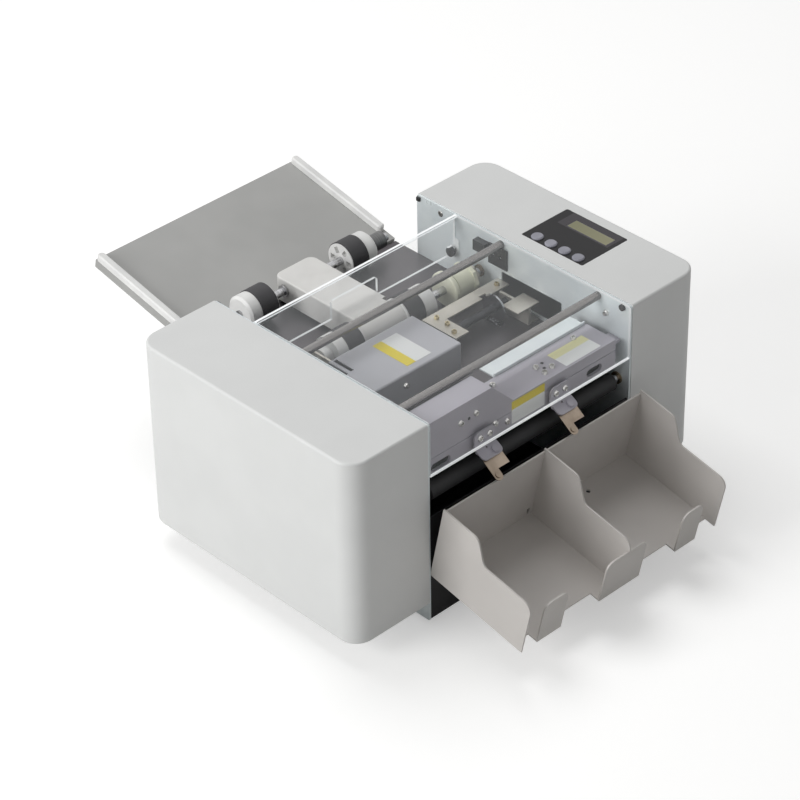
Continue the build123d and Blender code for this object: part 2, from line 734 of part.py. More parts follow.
with BuildPart() as lower_slit_blades:
    for x in cut_lines:
        side = x - shear_gap
        ring(side - slit_blade_t, side, slit_y, slit_low_z, slit_blade_r, shaft_r + bore_clear)
        ring(side - slit_blade_t - 5.0, side - slit_blade_t, slit_y, slit_low_z, 7.5, shaft_r + bore_clear)
finish(lower_slit_blades, "lower_slit_blades")

bridge_z = slit_up_z + shaft_r + 1.2
with BuildPart() as slitter_bridge:
    block(28.0, seat_x, 153.0, 168.0, bridge_z, bridge_z + sheet_t)
    block(28.0, 45.0, 124.0, 168.0, bridge_z, bridge_z + sheet_t)
    cut_end = edge_cut + slit_blade_t + 3.0
    block(edge_cut - 3.0, cut_end, 153.0, 158.0, bridge_z, bridge_z + sheet_t, Mode.SUBTRACT)
    block(116.0, 116.0 + sheet_t, 153.0, 168.0, deck_z + seat_gap, bridge_z)
    block(116.0, seat_x, 153.0, 168.0, deck_z + seat_gap, deck_z + seat_gap + sheet_t)
finish(slitter_bridge, "slitter_bridge")

brass_z = bridge_z + sheet_t + seat_gap
with BuildPart() as bridge_screws:
    with BuildSketch(Plane.XY.offset(brass_z)):
        with Locations((34.0, at_y(132.0)), (39.0, at_y(146.0)), (39.0, at_y(160.0)), (118.0, at_y(160.0))):
            Circle(2.8)
    extrude(amount=2.4, taper=12)
finish(bridge_screws, "bridge_screws")

bracket_top = slit_up_z + 6.0
with BuildPart() as slitter_bracket:
    block(bearing_x, bearing_x + 3.0, 113.0, 151.0, deck_z + seat_gap, bracket_top)
    block(98.0, seat_x - 1.0, 113.0, 133.5, bracket_top - sheet_t, bracket_top)
    block(bearing_x, seat_x - 1.0, 113.0, 135.0, deck_z + seat_gap, deck_z + seat_gap + sheet_t)
    disc(bearing_x, bearing_x + 3.0, slit_y, slit_up_z, shaft_r + bore_clear, Mode.SUBTRACT)
finish(slitter_bracket, "slitter_bracket")

# Right bracket stands on the deck, the left one hangs on the slitter cover's rear wall
with BuildPart() as mid_shaft_brackets:
    profile(
        112.0,
        115.0,
        (
            (mid_shaft_y - 12.0, deck_z + seat_gap),
            (mid_shaft_y - 12.0, shaft_z + 6.0),
            (mid_shaft_y - 6.0, shaft_z + 12.0),
            (mid_shaft_y + 6.0, shaft_z + 12.0),
            (mid_shaft_y + 12.0, shaft_z + 6.0),
            (mid_shaft_y + 12.0, deck_z + seat_gap),
        ),
    )
    block(112.0, 124.0, mid_shaft_y - 12.0, mid_shaft_y + 12.0, deck_z + seat_gap, deck_z + seat_gap + 2.0)
    disc(112.0, 115.0, mid_shaft_y, shaft_z, shaft_r + bore_clear, Mode.SUBTRACT)
    hang_y = slit_cover_rear + seat_gap
    block(-82.0, -80.0, hang_y, mid_shaft_y + 7.0, shaft_z - 7.0, shaft_z + 7.0)
    block(-92.0, -80.0, hang_y, hang_y + 2.0, shaft_z - 7.0, shaft_z + 9.0)
    disc(-82.0, -80.0, mid_shaft_y, shaft_z, shaft_r + bore_clear, Mode.SUBTRACT)
finish(mid_shaft_brackets, "mid_shaft_brackets")

# ---------------------------------------------------------------- front cutter

frame_high_z = top_z - frame_high_drop
frame_low_z = top_z - frame_low_drop
frame_bottom = top_z - frame_bottom_drop
high_right = -42.0
low_left = -15.0
frame_outline = (
    (frame_left, frame_bottom),
    (frame_left, frame_high_z),
    (high_right, frame_high_z),
    (low_left, frame_low_z),
    (frame_right, frame_low_z),
    (frame_right, frame_bottom),
)
frame_inner = (
    (frame_left + frame_t, frame_bottom),
    (frame_left + frame_t, frame_high_z - frame_t),
    (high_right - 1.2, frame_high_z - frame_t),
    (low_left - 1.2, frame_low_z - frame_t),
    (frame_right - frame_t, frame_low_z - frame_t),
    (frame_right - frame_t, frame_bottom),
)
post_x = 110.8
post_r = 3.0
post_y = blade_y - 1.5
with BuildPart() as cutter_frame:
    front_face(frame_y, frame_outline, frame_high_depth)
    front_face(frame_y + frame_t, frame_inner, frame_high_depth, Mode.SUBTRACT)
    shelf_y = frame_y + frame_high_depth
    block(low_left - 3.0, frame_right, shelf_y, frame_y + frame_low_depth, frame_low_z - frame_t, frame_low_z)
    seam_z = top_z - 47.8
    block(frame_left, frame_right, frame_y, frame_y + 0.5, seam_z, seam_z + 0.7, Mode.SUBTRACT)
    slot_through(frame_y, -117.0, -93.0, frame_bottom + 0.5, frame_bottom + 9.0, frame_t, 4.0)
    slot_through(frame_y, 80.0, 100.0, frame_bottom + 3.0, frame_bottom + 11.0, frame_t, 3.9)
    ear_z = frame_low_z - 8.0
    for x0, x1 in ((-seat_x, frame_left), (frame_right, seat_x)):
        block(x0, x1, frame_y + frame_t, frame_y + frame_t + 14.0, ear_z, ear_z + frame_t)
    for x0, x1 in ((frame_left, frame_left + frame_t), (frame_right - frame_t, frame_right)):
        disc(x0, x1, crank_y, crank_z, crank_r + 3.0, Mode.SUBTRACT)
    for x, top in ((-post_x, frame_high_z - 1.0), (post_x, frame_low_z - 1.0)):
        with BuildSketch(Plane.XY.offset(frame_bottom)) as post:
            with Locations((x, at_y(post_y))):
                Circle(post_r)
        extrude(post.sketch, amount=top - frame_bottom)
finish(cutter_frame, "cutter_frame")

with BuildPart() as cutter_guide_plate:
    rear_y = frame_y + frame_low_depth
    lap_y = rear_y + seat_gap
    lap_z = frame_low_z - frame_t - 1.7
    block(-1.0, 116.0, lap_y, rear_y + 21.0, frame_low_z - sheet_t, frame_low_z)
    block(-1.0, 116.0, lap_y, lap_y + sheet_t, frame_low_z - sheet_t, frame_low_z + 3.0)
    block(20.0, 60.0, lap_y, lap_y + sheet_t, lap_z, frame_low_z)
    block(20.0, 60.0, rear_y - 8.0, lap_y + sheet_t, lap_z, frame_low_z - frame_t - seat_gap)
finish(cutter_guide_plate, "cutter_guide_plate")

# Moving blade with its carrier; two cams on the crank shaft work in the carrier's yokes
blade_low = paper_z + 2.0
carrier_low = paper_z + 9.0
carrier_high = blade_low + 17.0
cam_z = crank_z + blade_travel / 2
yoke_half = cam_r + cam_play
yoke_wide = cam_r + blade_travel / 2 + 0.5
yoke_t = 2.5
with BuildPart() as moving_blade:
    profile(
        -106.0,
        106.0,
        (
            (blade_y, blade_low + 1.5),
            (blade_y, carrier_high),
            (blade_y + blade_t, carrier_high),
            (blade_y + blade_t, blade_low),
        ),
    )
finish(moving_blade, "moving_blade")

carrier_y = blade_y - seat_gap
with BuildPart() as blade_carrier:
    block(-106.0, 106.0, carrier_y - 5.0, carrier_y, carrier_low, carrier_high)
    for s in (-1, 1):
        x0, x1 = sorted((s * 106.0, s * 114.0))
        block(x0, x1, post_y - 5.0, post_y + 5.0, carrier_low, carrier_high)
        x0, x1 = sorted((s * (cam_x - 1.5), s * (cam_x + 1.5)))
        block(x0, x1, carrier_y - 5.0, crank_y - yoke_wide, carrier_high + seat_gap, carrier_high + 5.0)
        block(x0, x1, carrier_y - 5.0, carrier_y, carrier_high, carrier_high + 5.0)
        block(
            x0,
            x1,
            crank_y - yoke_wide - yoke_t,
            crank_y + yoke_wide + yoke_t,
            cam_z - yoke_half - yoke_t,
            cam_z + yoke_half + yoke_t,
        )
        low, high = cam_z - yoke_half, cam_z + yoke_half
        block(x0, x1, crank_y - yoke_wide, crank_y + yoke_wide, low, high, Mode.SUBTRACT)
        with BuildSketch(Plane.XY.offset(carrier_low)) as bore:
            with Locations((s * post_x, at_y(post_y))):
                Circle(post_r + bore_clear)
        extrude(bore.sketch, amount=carrier_high - carrier_low, mode=Mode.SUBTRACT)
finish(blade_carrier, "blade_carrier")

with BuildPart() as crank_shaft:
    disc(-plate_out - 2.0, plate_out + 2.0, crank_y, crank_z, crank_r)
    for s in (-1, 1):
        disc(s * cam_x - 3.0, s * cam_x + 3.0, crank_y, cam_z, cam_r)
finish(crank_shaft, "crank_shaft")

with BuildPart() as anvil_blade:
    anvil_y = blade_y + blade_t + shear_gap
    block(-seat_x, seat_x, anvil_y, anvil_y + 11.0, deck_z - 13.0, deck_z)
finish(anvil_blade, "anvil_blade")

with BuildPart() as exit_guide:
    guide_y = blade_y - fit_gap
    profile(
        -seat_x,
        seat_x,
        (
            (guide_y, paper_z - 3.5),
            (guide_y - 2.5, paper_z - 6.0),
            (guide_y - 2.5, paper_z - 8.0),
            (guide_y, paper_z - 10.0),
        ),
    )
finish(exit_guide, "exit_guide")

with BuildPart() as exit_roller_shaft:
    disc(-plate_out - 2.0, plate_out + 2.0, exit_roller_y, exit_z, shaft_r)
finish(exit_roller_shaft, "exit_roller_shaft")

with BuildPart() as exit_roller:
    ring(-118.0, 118.0, exit_roller_y, exit_z, exit_roller_r, shaft_r + bore_clear)
finish(exit_roller, "exit_roller")

# Bent presser plates on the frame's front, each with a sprung leaf under its lip
presser_y = frame_y - 4.8
presser_t = 1.5
presser_w = 25.0
presser_spots = (-55.4, 40.4)
presser_high = top_z - 44.5
presser_bend = top_z - 60.0
presser_slope = 29.0
presser_lip = 14.0
presser_screw_z = presser_bend + 8.5
presser_screws = [x + dx for x in presser_spots for dx in (-5.6, 6.0)]
leaf_pin_y = presser_y - 1.2
leaf_pin_z = presser_bend - 4.5
leaf_pin_r = 0.9
leaf_slope = 36.0
leaf_w = 23.0
leaf_eye_w = 16.0
leaf_wide_l = 21.0
leaf_l = 31.0
finger_w = 9.0
cos_p = math.cos(math.radians(presser_slope))
sin_p = math.sin(math.radians(presser_slope))
cos_l = math.cos(math.radians(leaf_slope))
sin_l = math.sin(math.radians(leaf_slope))
with BuildPart() as presser_plates:
    for x in presser_spots:
        with BuildSketch(Plane.XZ.offset(-at_y(presser_y))) as upright:
            with Locations((x, (presser_bend - 2.5 + presser_high) / 2)):
                Rectangle(presser_w, presser_high - presser_bend + 2.5)
            fillet(upright.vertices().group_by(Axis.Y)[-1], 5.0)
        extrude(upright.sketch, amount=-presser_t)
        slope = Plane(origin=(x, at_y(presser_y), presser_bend), x_dir=(1, 0, 0), z_dir=(0, -sin_p, cos_p))
        with BuildSketch(slope) as snout:
            with Locations((0, 0.4 - presser_lip / 2)):
                Rectangle(presser_w, presser_lip + 0.8)
            fillet(snout.vertices().group_by(Axis.Y)[0], 5.0)
            with Locations((-0.8, -3.4)):
                Circle(1.0, mode=Mode.SUBTRACT)
        extrude(snout.sketch, amount=-presser_t)
        with BuildSketch(slope) as knob:
            with Locations((4.7, -8.6)):
                Circle(3.4)
        extrude(knob.sketch, amount=2.2)
        lug_in = leaf_eye_w / 2 + fit_gap
        for x0 in (x - lug_in - 2.0, x + lug_in):
            block(x0, x0 + 2.0, leaf_pin_y - 2.0, presser_y + presser_t, leaf_pin_z - 2.0, presser_bend - 2.0)
        disc(x - lug_in - 2.0, x + lug_in + 2.0, leaf_pin_y, leaf_pin_z, leaf_pin_r)
    with BuildSketch(Plane.XZ.offset(-at_y(presser_y + presser_t))) as bosses:
        with Locations(*[(x, presser_screw_z) for x in presser_screws]):
            Circle(3.4)
    extrude(bosses.sketch, amount=-(frame_y - presser_y - presser_t - seat_gap))
finish(presser_plates, "presser_plates")


def leaf(x):
    """Flat spring leaf with a rolled eye, a wide root and a narrow finger with a rivet."""
    plane = Plane(origin=(x, at_y(leaf_pin_y), leaf_pin_z), x_dir=(1, 0, 0), z_dir=(0, -sin_l, cos_l))
    finger_x = (finger_w - leaf_w) / 2
    finger_l = leaf_l - leaf_wide_l + 6.0
    with BuildPart() as blade:
        with BuildSketch(plane.offset(leaf_pin_r + 0.1)):
            with Locations((0, -2.0)):
                Rectangle(leaf_eye_w, 4.0)
            with Locations((0, -(leaf_wide_l + 3.4) / 2)):
                Rectangle(leaf_w, leaf_wide_l - 3.4)
            with Locations((finger_x, finger_l / 2 - leaf_l)):
                RectangleRounded(finger_w, finger_l, 4.0)
        extrude(amount=0.65)
        with BuildSketch(plane.offset(leaf_pin_r + 0.7)):
            with Locations((finger_x, 5.0 - leaf_l)):
                Circle(2.6)
        extrude(amount=1.0)
        eye = leaf_eye_w / 2
        ring(x - eye, x + eye, leaf_pin_y, leaf_pin_z, leaf_pin_r + 0.75, leaf_pin_r + bore_clear)
    return blade


leaf_left = leaf(presser_spots[0])
finish(leaf_left, "leaf_left")
leaf_right = leaf(presser_spots[1])
finish(leaf_right, "leaf_right")

# ---------------------------------------------------------------- screws

head_r = 3.2
head_h = 2.2
low_head_h = 1.5
flush_head_h = 0.3
plate_screws = (
    (243.8, top_z - 9.0, flush_head_h),
    (30.7, top_z - 21.5, head_h),
    (262.0, top_z - 150.0, head_h),
    (70.0, top_z - 50.0, head_h),
)
top_screws = ((34.5, 29.5), (34.5, 18.4), (45.7, 20.4), (92.0, 38.0), (-12.0, 38.0))
with BuildPart() as pan_screws:
    for s in (-1, 1):
        for y, z, height in plate_screws:
            disc(s * seat_x, s * (seat_x - height), y, z, head_r)
    with BuildSketch(Plane.XY.offset(frame_low_z + seat_gap)) as heads:
        with Locations(*[(x, at_y(y)) for x, y in top_screws]):
            Circle(head_r)
    extrude(heads.sketch, amount=head_h)
    with BuildSketch(Plane.XZ.offset(-at_y(presser_y - seat_gap))) as heads:
        with Locations(*[(x, presser_screw_z) for x in presser_screws]):
            Circle(head_r)
    extrude(heads.sketch, amount=low_head_h)
    with BuildSketch(Plane.XZ.offset(-at_y(slit_cover_front - seat_gap))) as heads:
        with Locations((-60.0, slit_cover_z - 12.0)):
            Circle(head_r)
    extrude(heads.sketch, amount=head_h)
finish(pan_screws, "pan_screws")

# ---------------------------------------------------------------- cover

cover_half = plate_x - cover_side_gap
ear_t = 3.0
ear_r = 6.0
cover_front_z = top_z - cover_front_drop
cover_rear_z = top_z - cover_rear_drop
with BuildPart() as cover:
    for drop, mode in ((0.0, Mode.ADD), (cover_t, Mode.SUBTRACT)):
        with BuildSketch(Plane.YZ.offset(-cover_half)) as hoop:
            with Locations((at_y(cover_depth / 2), (cover_front_z + top_z) / 2 - drop)):
                Rectangle(cover_depth - 2 * drop, cover_front_drop)
            fillet(hoop.vertices().group_by(Axis.Y)[-1], cover_bend - drop)
        extrude(amount=2 * cover_half, mode=mode)
    rear_in = cover_depth - cover_t
    block(-cover_half, cover_half, rear_in - 1.0, cover_depth, cover_front_z, cover_rear_z, Mode.SUBTRACT)
    notch_top = cover_rear_z + notch_height
    slot_through(rear_in, notch_left, notch_right, cover_rear_z - 9.0, notch_top, cover_t, 3.0)
    for x0, x1 in ((-cover_half, -cover_half + ear_t), (cover_half - ear_t, cover_half)):
        disc(x0, x1, pivot_y, pivot_z, ear_r)
        block(x0, x1, pivot_y - ear_r, cover_depth, pivot_z, pivot_z + 14.0)
        disc(x0, x1, pivot_y, pivot_z, pivot_r + bore_clear, Mode.SUBTRACT)
    for x0, x1 in ((-cover_half + ear_t, -cover_half + 9.0), (cover_half - 9.0, cover_half - ear_t)):
        block(x0, x1, rear_in - 1.0, cover_depth, cover_rear_z, pivot_z + 6.0, Mode.SUBTRACT)
finish(cover, "cover")

with BuildPart() as pivot_knobs:
    ear_in = cover_half - ear_t
    for s in (-1, 1):
        disc(s * (ear_in - fit_gap - 3.2), s * (ear_in - fit_gap), pivot_y, pivot_z, 5.0)
        disc(s * (ear_in - fit_gap), s * plate_out, pivot_y, pivot_z, pivot_r)
finish(pivot_knobs, "pivot_knobs")

# Small bracket high on the right plate, with its switch
with BuildPart() as limit_switch:
    block(seat_x - sheet_t, seat_x, 155.0, 179.0, top_z - 33.0, rod_z - rod_r - seat_gap)
    disc(seat_x - sheet_t, seat_x, 173.0, top_z - 22.0, 1.5, Mode.SUBTRACT)
    disc(seat_x - sheet_t, seat_x, 164.0, top_z - 22.0, 1.5, Mode.SUBTRACT)
    block(seat_x - 7.0, seat_x, 179.0, 194.0, top_z - 23.0, top_z - 12.0)
finish(limit_switch, "limit_switch")

# ---------------------------------------------------------------- drives below the deck

main_motor_y = 92.0
main_motor_z = slit_low_z - 56.0
feed_motor_y = 236.0
feed_motor_z = shaft_z - 68.0
with BuildPart() as main_motor:
    disc(seat_x - 4.0, seat_x, main_motor_y, main_motor_z, 27.0)
    disc(seat_x - 66.0, seat_x - 4.0, main_motor_y, main_motor_z, 21.0)
    chamfer(main_motor.edges().filter_by(GeomType.CIRCLE).group_by(Axis.X)[0], 2.5)
    disc(seat_x - 72.0, seat_x - 66.0, main_motor_y, main_motor_z, 8.0)
finish(main_motor, "main_motor")

with BuildPart() as feed_motor:
    with BuildSketch(Plane.YZ.offset(seat_x)):
        with Locations((at_y(feed_motor_y), feed_motor_z)):
            Rectangle(42.0, 42.0)
    extrude(amount=-3.0)
    disc(seat_x - 42.0, seat_x - 3.0, feed_motor_y, feed_motor_z, 18.0)
    chamfer(feed_motor.edges().filter_by(GeomType.CIRCLE).group_by(Axis.X)[0], 2.0)
finish(feed_motor, "feed_motor")

# ---------------------------------------------------------------- catch tray

catch_half = catch_width / 2
foot = (at_y(catch_foot_y), catch_foot_z)
flap_spans = ((-107.0, -77.0), (-28.0, 24.0), (72.0, 99.0))


def tray_side(x1, thickness):
    """Upright wall of the tray with its high back and lower front."""
    plane = Plane(origin=(x1, foot[0], foot[1]), x_dir=(0, -cos_c, -sin_c), z_dir=(-1, 0, 0))
    with BuildSketch(plane) as wall:
        with BuildLine() as rim:
            Line((0, 0), (0, catch_high))
            Line((0, catch_high), (catch_step - 4.0, catch_high))
            bend = Bezier(
                (catch_step - 4.0, catch_high),
                (catch_step + 7.0, catch_high),
                (catch_step + 7.0, catch_low),
                (catch_step + 18.0, catch_low),
            )
            Line(bend @ 1, (catch_length - catch_corner, catch_low))
            turn = (catch_length, catch_low - catch_corner)
            RadiusArc((catch_length - catch_corner, catch_low), turn, catch_corner)
            Line(turn, (catch_length, 0))
            Line((catch_length, 0), (0, 0))
        make_face()
    extrude(wall.sketch, amount=thickness)


floor_plane = Plane(origin=(0, foot[0], foot[1]), x_dir=(1, 0, 0), z_dir=(0, -sin_c, cos_c))
lip = Plane(
    origin=(0, foot[0] - catch_length * cos_c, foot[1] - catch_length * sin_c),
    x_dir=(1, 0, 0),
    z_dir=(0, -cos_c, -sin_c),
)
with BuildPart() as catch_tray:
    for x1 in (-catch_half + catch_wall, catch_wall / 2, catch_half):
        tray_side(x1, catch_wall)
    with BuildSketch(floor_plane):
        with Locations((0, -(catch_length - catch_notch) / 2)):
            Rectangle(catch_width, catch_length - catch_notch)
        for x0, x1 in flap_spans:
            with Locations(((x0 + x1) / 2, -catch_length + catch_notch)):
                Rectangle(x1 - x0, 2 * catch_notch)
        with Locations((62.0, -14.0)):
            Circle(2.2, mode=Mode.SUBTRACT)
    extrude(amount=catch_wall)
    for x0, x1 in flap_spans:
        with BuildSketch(lip) as flap:
            with Locations(((x0 + x1) / 2, flap_h / 2)):
                Rectangle(x1 - x0, flap_h)
            fillet(flap.vertices().group_by(Axis.Y)[-1], 9.0)
        extrude(amount=-catch_wall)
    with BuildSketch(Plane(origin=(0, foot[0], foot[1]), x_dir=(1, 0, 0), z_dir=(0, -cos_c, -sin_c))):
        with Locations((0, catch_back / 2)):
            Rectangle(catch_width, catch_back)
        with Locations((-6.0, 7.0), (6.0, 7.0)):
            Rectangle(3.0, 7.0, mode=Mode.SUBTRACT)
    extrude(amount=catch_wall)
    hook_out = front_panel_y + sheet_t + fit_gap
    wall_y = catch_foot_y - (hook_z + catch_wall - catch_foot_z) * sin_c / cos_c - 0.4
    for x in (-hook_x, hook_x):
        block(x - hook_w / 2, x + hook_w / 2, wall_y, hook_out + catch_wall, hook_z, hook_z + catch_wall)
        block(x - hook_w / 2, x + hook_w / 2, hook_out, hook_out + catch_wall, hook_z - hook_drop, hook_z)
finish(catch_tray, "catch_tray")
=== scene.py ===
import bmesh
import bpy
import math
from mathutils import Matrix, Vector


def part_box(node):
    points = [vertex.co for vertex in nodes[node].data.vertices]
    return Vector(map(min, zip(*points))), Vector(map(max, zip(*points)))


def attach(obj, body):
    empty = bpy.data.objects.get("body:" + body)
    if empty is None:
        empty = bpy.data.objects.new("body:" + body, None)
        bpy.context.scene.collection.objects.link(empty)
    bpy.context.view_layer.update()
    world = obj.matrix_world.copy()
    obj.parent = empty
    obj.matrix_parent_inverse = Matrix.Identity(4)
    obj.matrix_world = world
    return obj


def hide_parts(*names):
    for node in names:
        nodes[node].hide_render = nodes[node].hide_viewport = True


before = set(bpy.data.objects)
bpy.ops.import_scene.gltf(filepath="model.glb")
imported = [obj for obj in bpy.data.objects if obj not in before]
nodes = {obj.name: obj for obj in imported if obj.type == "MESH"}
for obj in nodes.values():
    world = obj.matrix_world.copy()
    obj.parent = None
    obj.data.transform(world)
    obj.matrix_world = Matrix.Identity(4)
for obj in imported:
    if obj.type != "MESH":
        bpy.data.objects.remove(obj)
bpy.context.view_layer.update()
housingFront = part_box("left_housing")[0].y
weld = 1e-6  # corners closer than this are one
print("frame loaded:", len(nodes), "nodes")


def linear(hexColour):
    # sRGB hex to the linear RGBA that shaders take
    parts = [int(hexColour[i:i + 2], 16) / 255 for i in (1, 3, 5)]
    return [c / 12.92 if c <= 0.04045 else ((c + 0.055) / 1.055) ** 2.4 for c in parts] + [1.0]


def addNode(tree, kind, inputs=None, **settings):
    # one node with its settings, its input values and its incoming links
    node = tree.nodes.new(kind)
    for key, value in settings.items():
        setattr(node, key, value)
    for key, value in (inputs or {}).items():
        if isinstance(value, bpy.types.NodeSocket):
            tree.links.new(value, node.inputs[key])
        else:
            node.inputs[key].default_value = value
    return node


def startMaterial(name, metallic=0.0, ior=None, **values):
    # a material with its shader's constants set; returns it with its tree, shader and object coordinates
    material = bpy.data.materials.new(name)
    material.use_nodes = True
    tree = material.node_tree
    shader = tree.nodes["Principled BSDF"]
    shader.inputs["Metallic"].default_value = metallic
    if ior and not metallic:
        shader.inputs["IOR"].default_value = ior
    for key, value in values.items():
        shader.inputs[key.replace("_", " ")].default_value = value
    place = addNode(tree, "ShaderNodeTexCoord").outputs["Object"]
    return material, tree, shader, place


def mottle(tree, place, sizeMm, detail=3.0, stretch=(1, 1, 1)):
    # noise whose features are about sizeMm wide, longer along an axis whose stretch is above 1
    scaled = addNode(tree, "ShaderNodeMapping", {"Vector": place, "Scale": [1 / s for s in stretch]})
    noise = addNode(tree, "ShaderNodeTexNoise", {"Vector": scaled.outputs["Vector"], "Scale": 1000 / sizeMm,
                                                 "Detail": detail, "Roughness": 0.55})
    return noise.outputs["Fac"]


def twoTone(tree, shader, factor, dark, light, low=0.35, high=0.65):
    # base colour that runs from dark to light with the factor
    ramp = addNode(tree, "ShaderNodeValToRGB", {"Fac": factor})
    ramp.color_ramp.elements[0].position = low
    ramp.color_ramp.elements[0].color = linear(dark)
    ramp.color_ramp.elements[1].position = high
    ramp.color_ramp.elements[1].color = linear(light)
    tree.links.new(ramp.outputs["Color"], shader.inputs["Base Color"])


def roughBetween(tree, shader, factor, low, high):
    spread = addNode(tree, "ShaderNodeMapRange", {"Value": factor, "To Min": low, "To Max": high})
    tree.links.new(spread.outputs["Result"], shader.inputs["Roughness"])


def relief(tree, shader, height, depthMm, strength=1.0):
    bump = addNode(tree, "ShaderNodeBump", {"Height": height, "Distance": depthMm / 1000, "Strength": strength})
    tree.links.new(bump.outputs["Normal"], shader.inputs["Normal"])


def powderCoat(name, dark, light, grainMm, depthMm, rough):
    # polyester powder or lacquer, sprayed and baked: soft sheen with a fine leathery grain
    material, tree, shader, place = startMaterial(name, ior=1.5)
    grain = mottle(tree, place, grainMm, detail=2.0)
    twoTone(tree, shader, mottle(tree, place, 60, detail=2.0), dark, light)
    roughBetween(tree, shader, grain, rough - 0.05, rough + 0.07)
    relief(tree, shader, grain, depthMm)
    return material


def sheetZinc(name, dark, light, rough, metallic=1.0):
    # rolled sheet, zinc-plated or bare: faint rolling streaks and cloudy patches; the matte bloom of a
    # passivated plating scatters light, so such a sheet is less than fully metallic
    material, tree, shader, place = startMaterial(name, metallic=metallic)
    twoTone(tree, shader, mottle(tree, place, 22, detail=4.0), dark, light, 0.3, 0.7)
    streaks = mottle(tree, place, 1.6, detail=3.0, stretch=(1, 24, 24))
    roughBetween(tree, shader, streaks, rough - 0.09, rough + 0.12)
    relief(tree, shader, streaks, 0.02, 0.5)
    return material


def turnedMetal(name, dark, light, rough):
    # bar turned or ground on a lathe: fine rings that run round the axis X
    material, tree, shader, place = startMaterial(name, metallic=1.0)
    rings = mottle(tree, place, 0.5, detail=2.0, stretch=(1, 60, 60))
    twoTone(tree, shader, rings, dark, light, 0.3, 0.7)
    roughBetween(tree, shader, mottle(tree, place, 9), rough - 0.06, rough + 0.1)
    relief(tree, shader, rings, 0.008, 0.3)
    return material


def drawnRod(name, dark, light, rough):
    # bar drawn through a die: smooth and grey, with faint long lines and a patchy film of oil
    material, tree, shader, place = startMaterial(name, metallic=1.0)
    twoTone(tree, shader, mottle(tree, place, 3, detail=2.0, stretch=(60, 1, 1)), dark, light)
    roughBetween(tree, shader, mottle(tree, place, 16, detail=3.0), rough - 0.04, rough + 0.12)
    return material


def moulded(name, dark, light, rough, grainMm=0.9, depthMm=0.02):
    # injection-moulded plastic: even colour, slight flow shading, fine spark-eroded grain
    material, tree, shader, place = startMaterial(name, ior=1.53)
    twoTone(tree, shader, mottle(tree, place, 30, detail=2.0), dark, light)
    grain = mottle(tree, place, grainMm, detail=2.0)
    roughBetween(tree, shader, grain, rough - 0.06, rough + 0.08)
    relief(tree, shader, grain, depthMm)
    return material


finish = {
    "housing": powderCoat("powderCoatedSteelOffWhite", "#d9dad9", "#dcdddc", 1.4, 0.035, 0.46),
    "tray": powderCoat("sprayedSteelTrayWarmWhite", "#c5c1bd", "#cac6c2", 1.1, 0.02, 0.42),
    "base": powderCoat("powderCoatedSteelBlack", "#101012", "#19191c", 1.2, 0.04, 0.5),
    "frame": powderCoat("lacqueredCutterFrameLilacGrey", "#aca9b2", "#b3b0b9", 1.6, 0.015, 0.3),
    "greyBox": powderCoat("lacqueredSlitterBoxGrey", "#b3b3b9", "#b9bac0", 1.6, 0.015, 0.32),
    # the feed tray's floor is drawn an even mid grey, darker than the white rails along its sides
    "feedFloor": powderCoat("feedFloorEvenGrey", "#a2a2a0", "#a8a8a6", 1.4, 0.02, 0.42),
    "zinc": sheetZinc("zincPlatedRolledSheet", "#dce4e7", "#e8eff0", 0.3, metallic=0.2),
    "zincDull": sheetZinc("passivatedZincSheetDull", "#8d9090", "#b0b4b3", 0.4, metallic=0.5),
    "deck": sheetZinc("blackPassivatedSheetGrey", "#4f4b4e", "#575356", 0.34, metallic=0.6),
    "zincWarm": sheetZinc("passivatedZincSheetWarm", "#b4b0a6", "#cdc9c0", 0.34, metallic=0.5),
    "steel": turnedMetal("groundSteelShaft", "#9a9a9c", "#c9c9cb", 0.24),
    "rod": drawnRod("brightDrawnSteelRod", "#747170", "#8b8886", 0.2),
    "blade": turnedMetal("hardenedToolSteelBlade", "#8c8d90", "#c4c5c9", 0.18),
    "dark": turnedMetal("blackenedSteelTurned", "#2b2b2d", "#47474a", 0.36),
    "collar": turnedMetal("phosphatedSteelCollar", "#59595a", "#7b7b7a", 0.34),
    "brass": turnedMetal("nickelledBrassTurned", "#a89a78", "#d6cba9", 0.26),
    "screw": turnedMetal("brightZincScrew", "#aaa9a6", "#e0dfdc", 0.24),
    "bronze": sheetZinc("springBronzeBrown", "#7d7164", "#a19486", 0.38),
    "bush": turnedMetal("sinteredBronzeBush", "#6f6352", "#94866f", 0.42),
    "rubber": moulded("mouldedRubberBlack", "#131314", "#1d1d1f", 0.72, 0.8, 0.05),
    "tyre": moulded("mouldedRubberTyreBlack", "#262527", "#302f32", 0.62, 0.7, 0.05),
    "white": moulded("mouldedAbsWhite", "#dededd", "#e9e9e7", 0.4),
    "arm": moulded("mouldedAbsWarmWhite", "#d6d5d2", "#dfdedb", 0.42),
    "cream": moulded("mouldedNylonCream", "#e3e4cc", "#eeeedb", 0.38),
    "black": moulded("mouldedAbsBlack", "#141416", "#1e1e21", 0.4),
    "key": moulded("mouldedKeyGrey", "#85858f", "#94949e", 0.45),
    "board": moulded("glassEpoxyBoardGreen", "#1d4a2b", "#28593a", 0.45),
}
print("materials ready:", len(finish))


def paint(names, key):
    # a CAD node keeps its shape and takes the finish
    for name in names.split():
        for slotOfNode in nodes[name].material_slots:
            slotOfNode.material = finish[key]


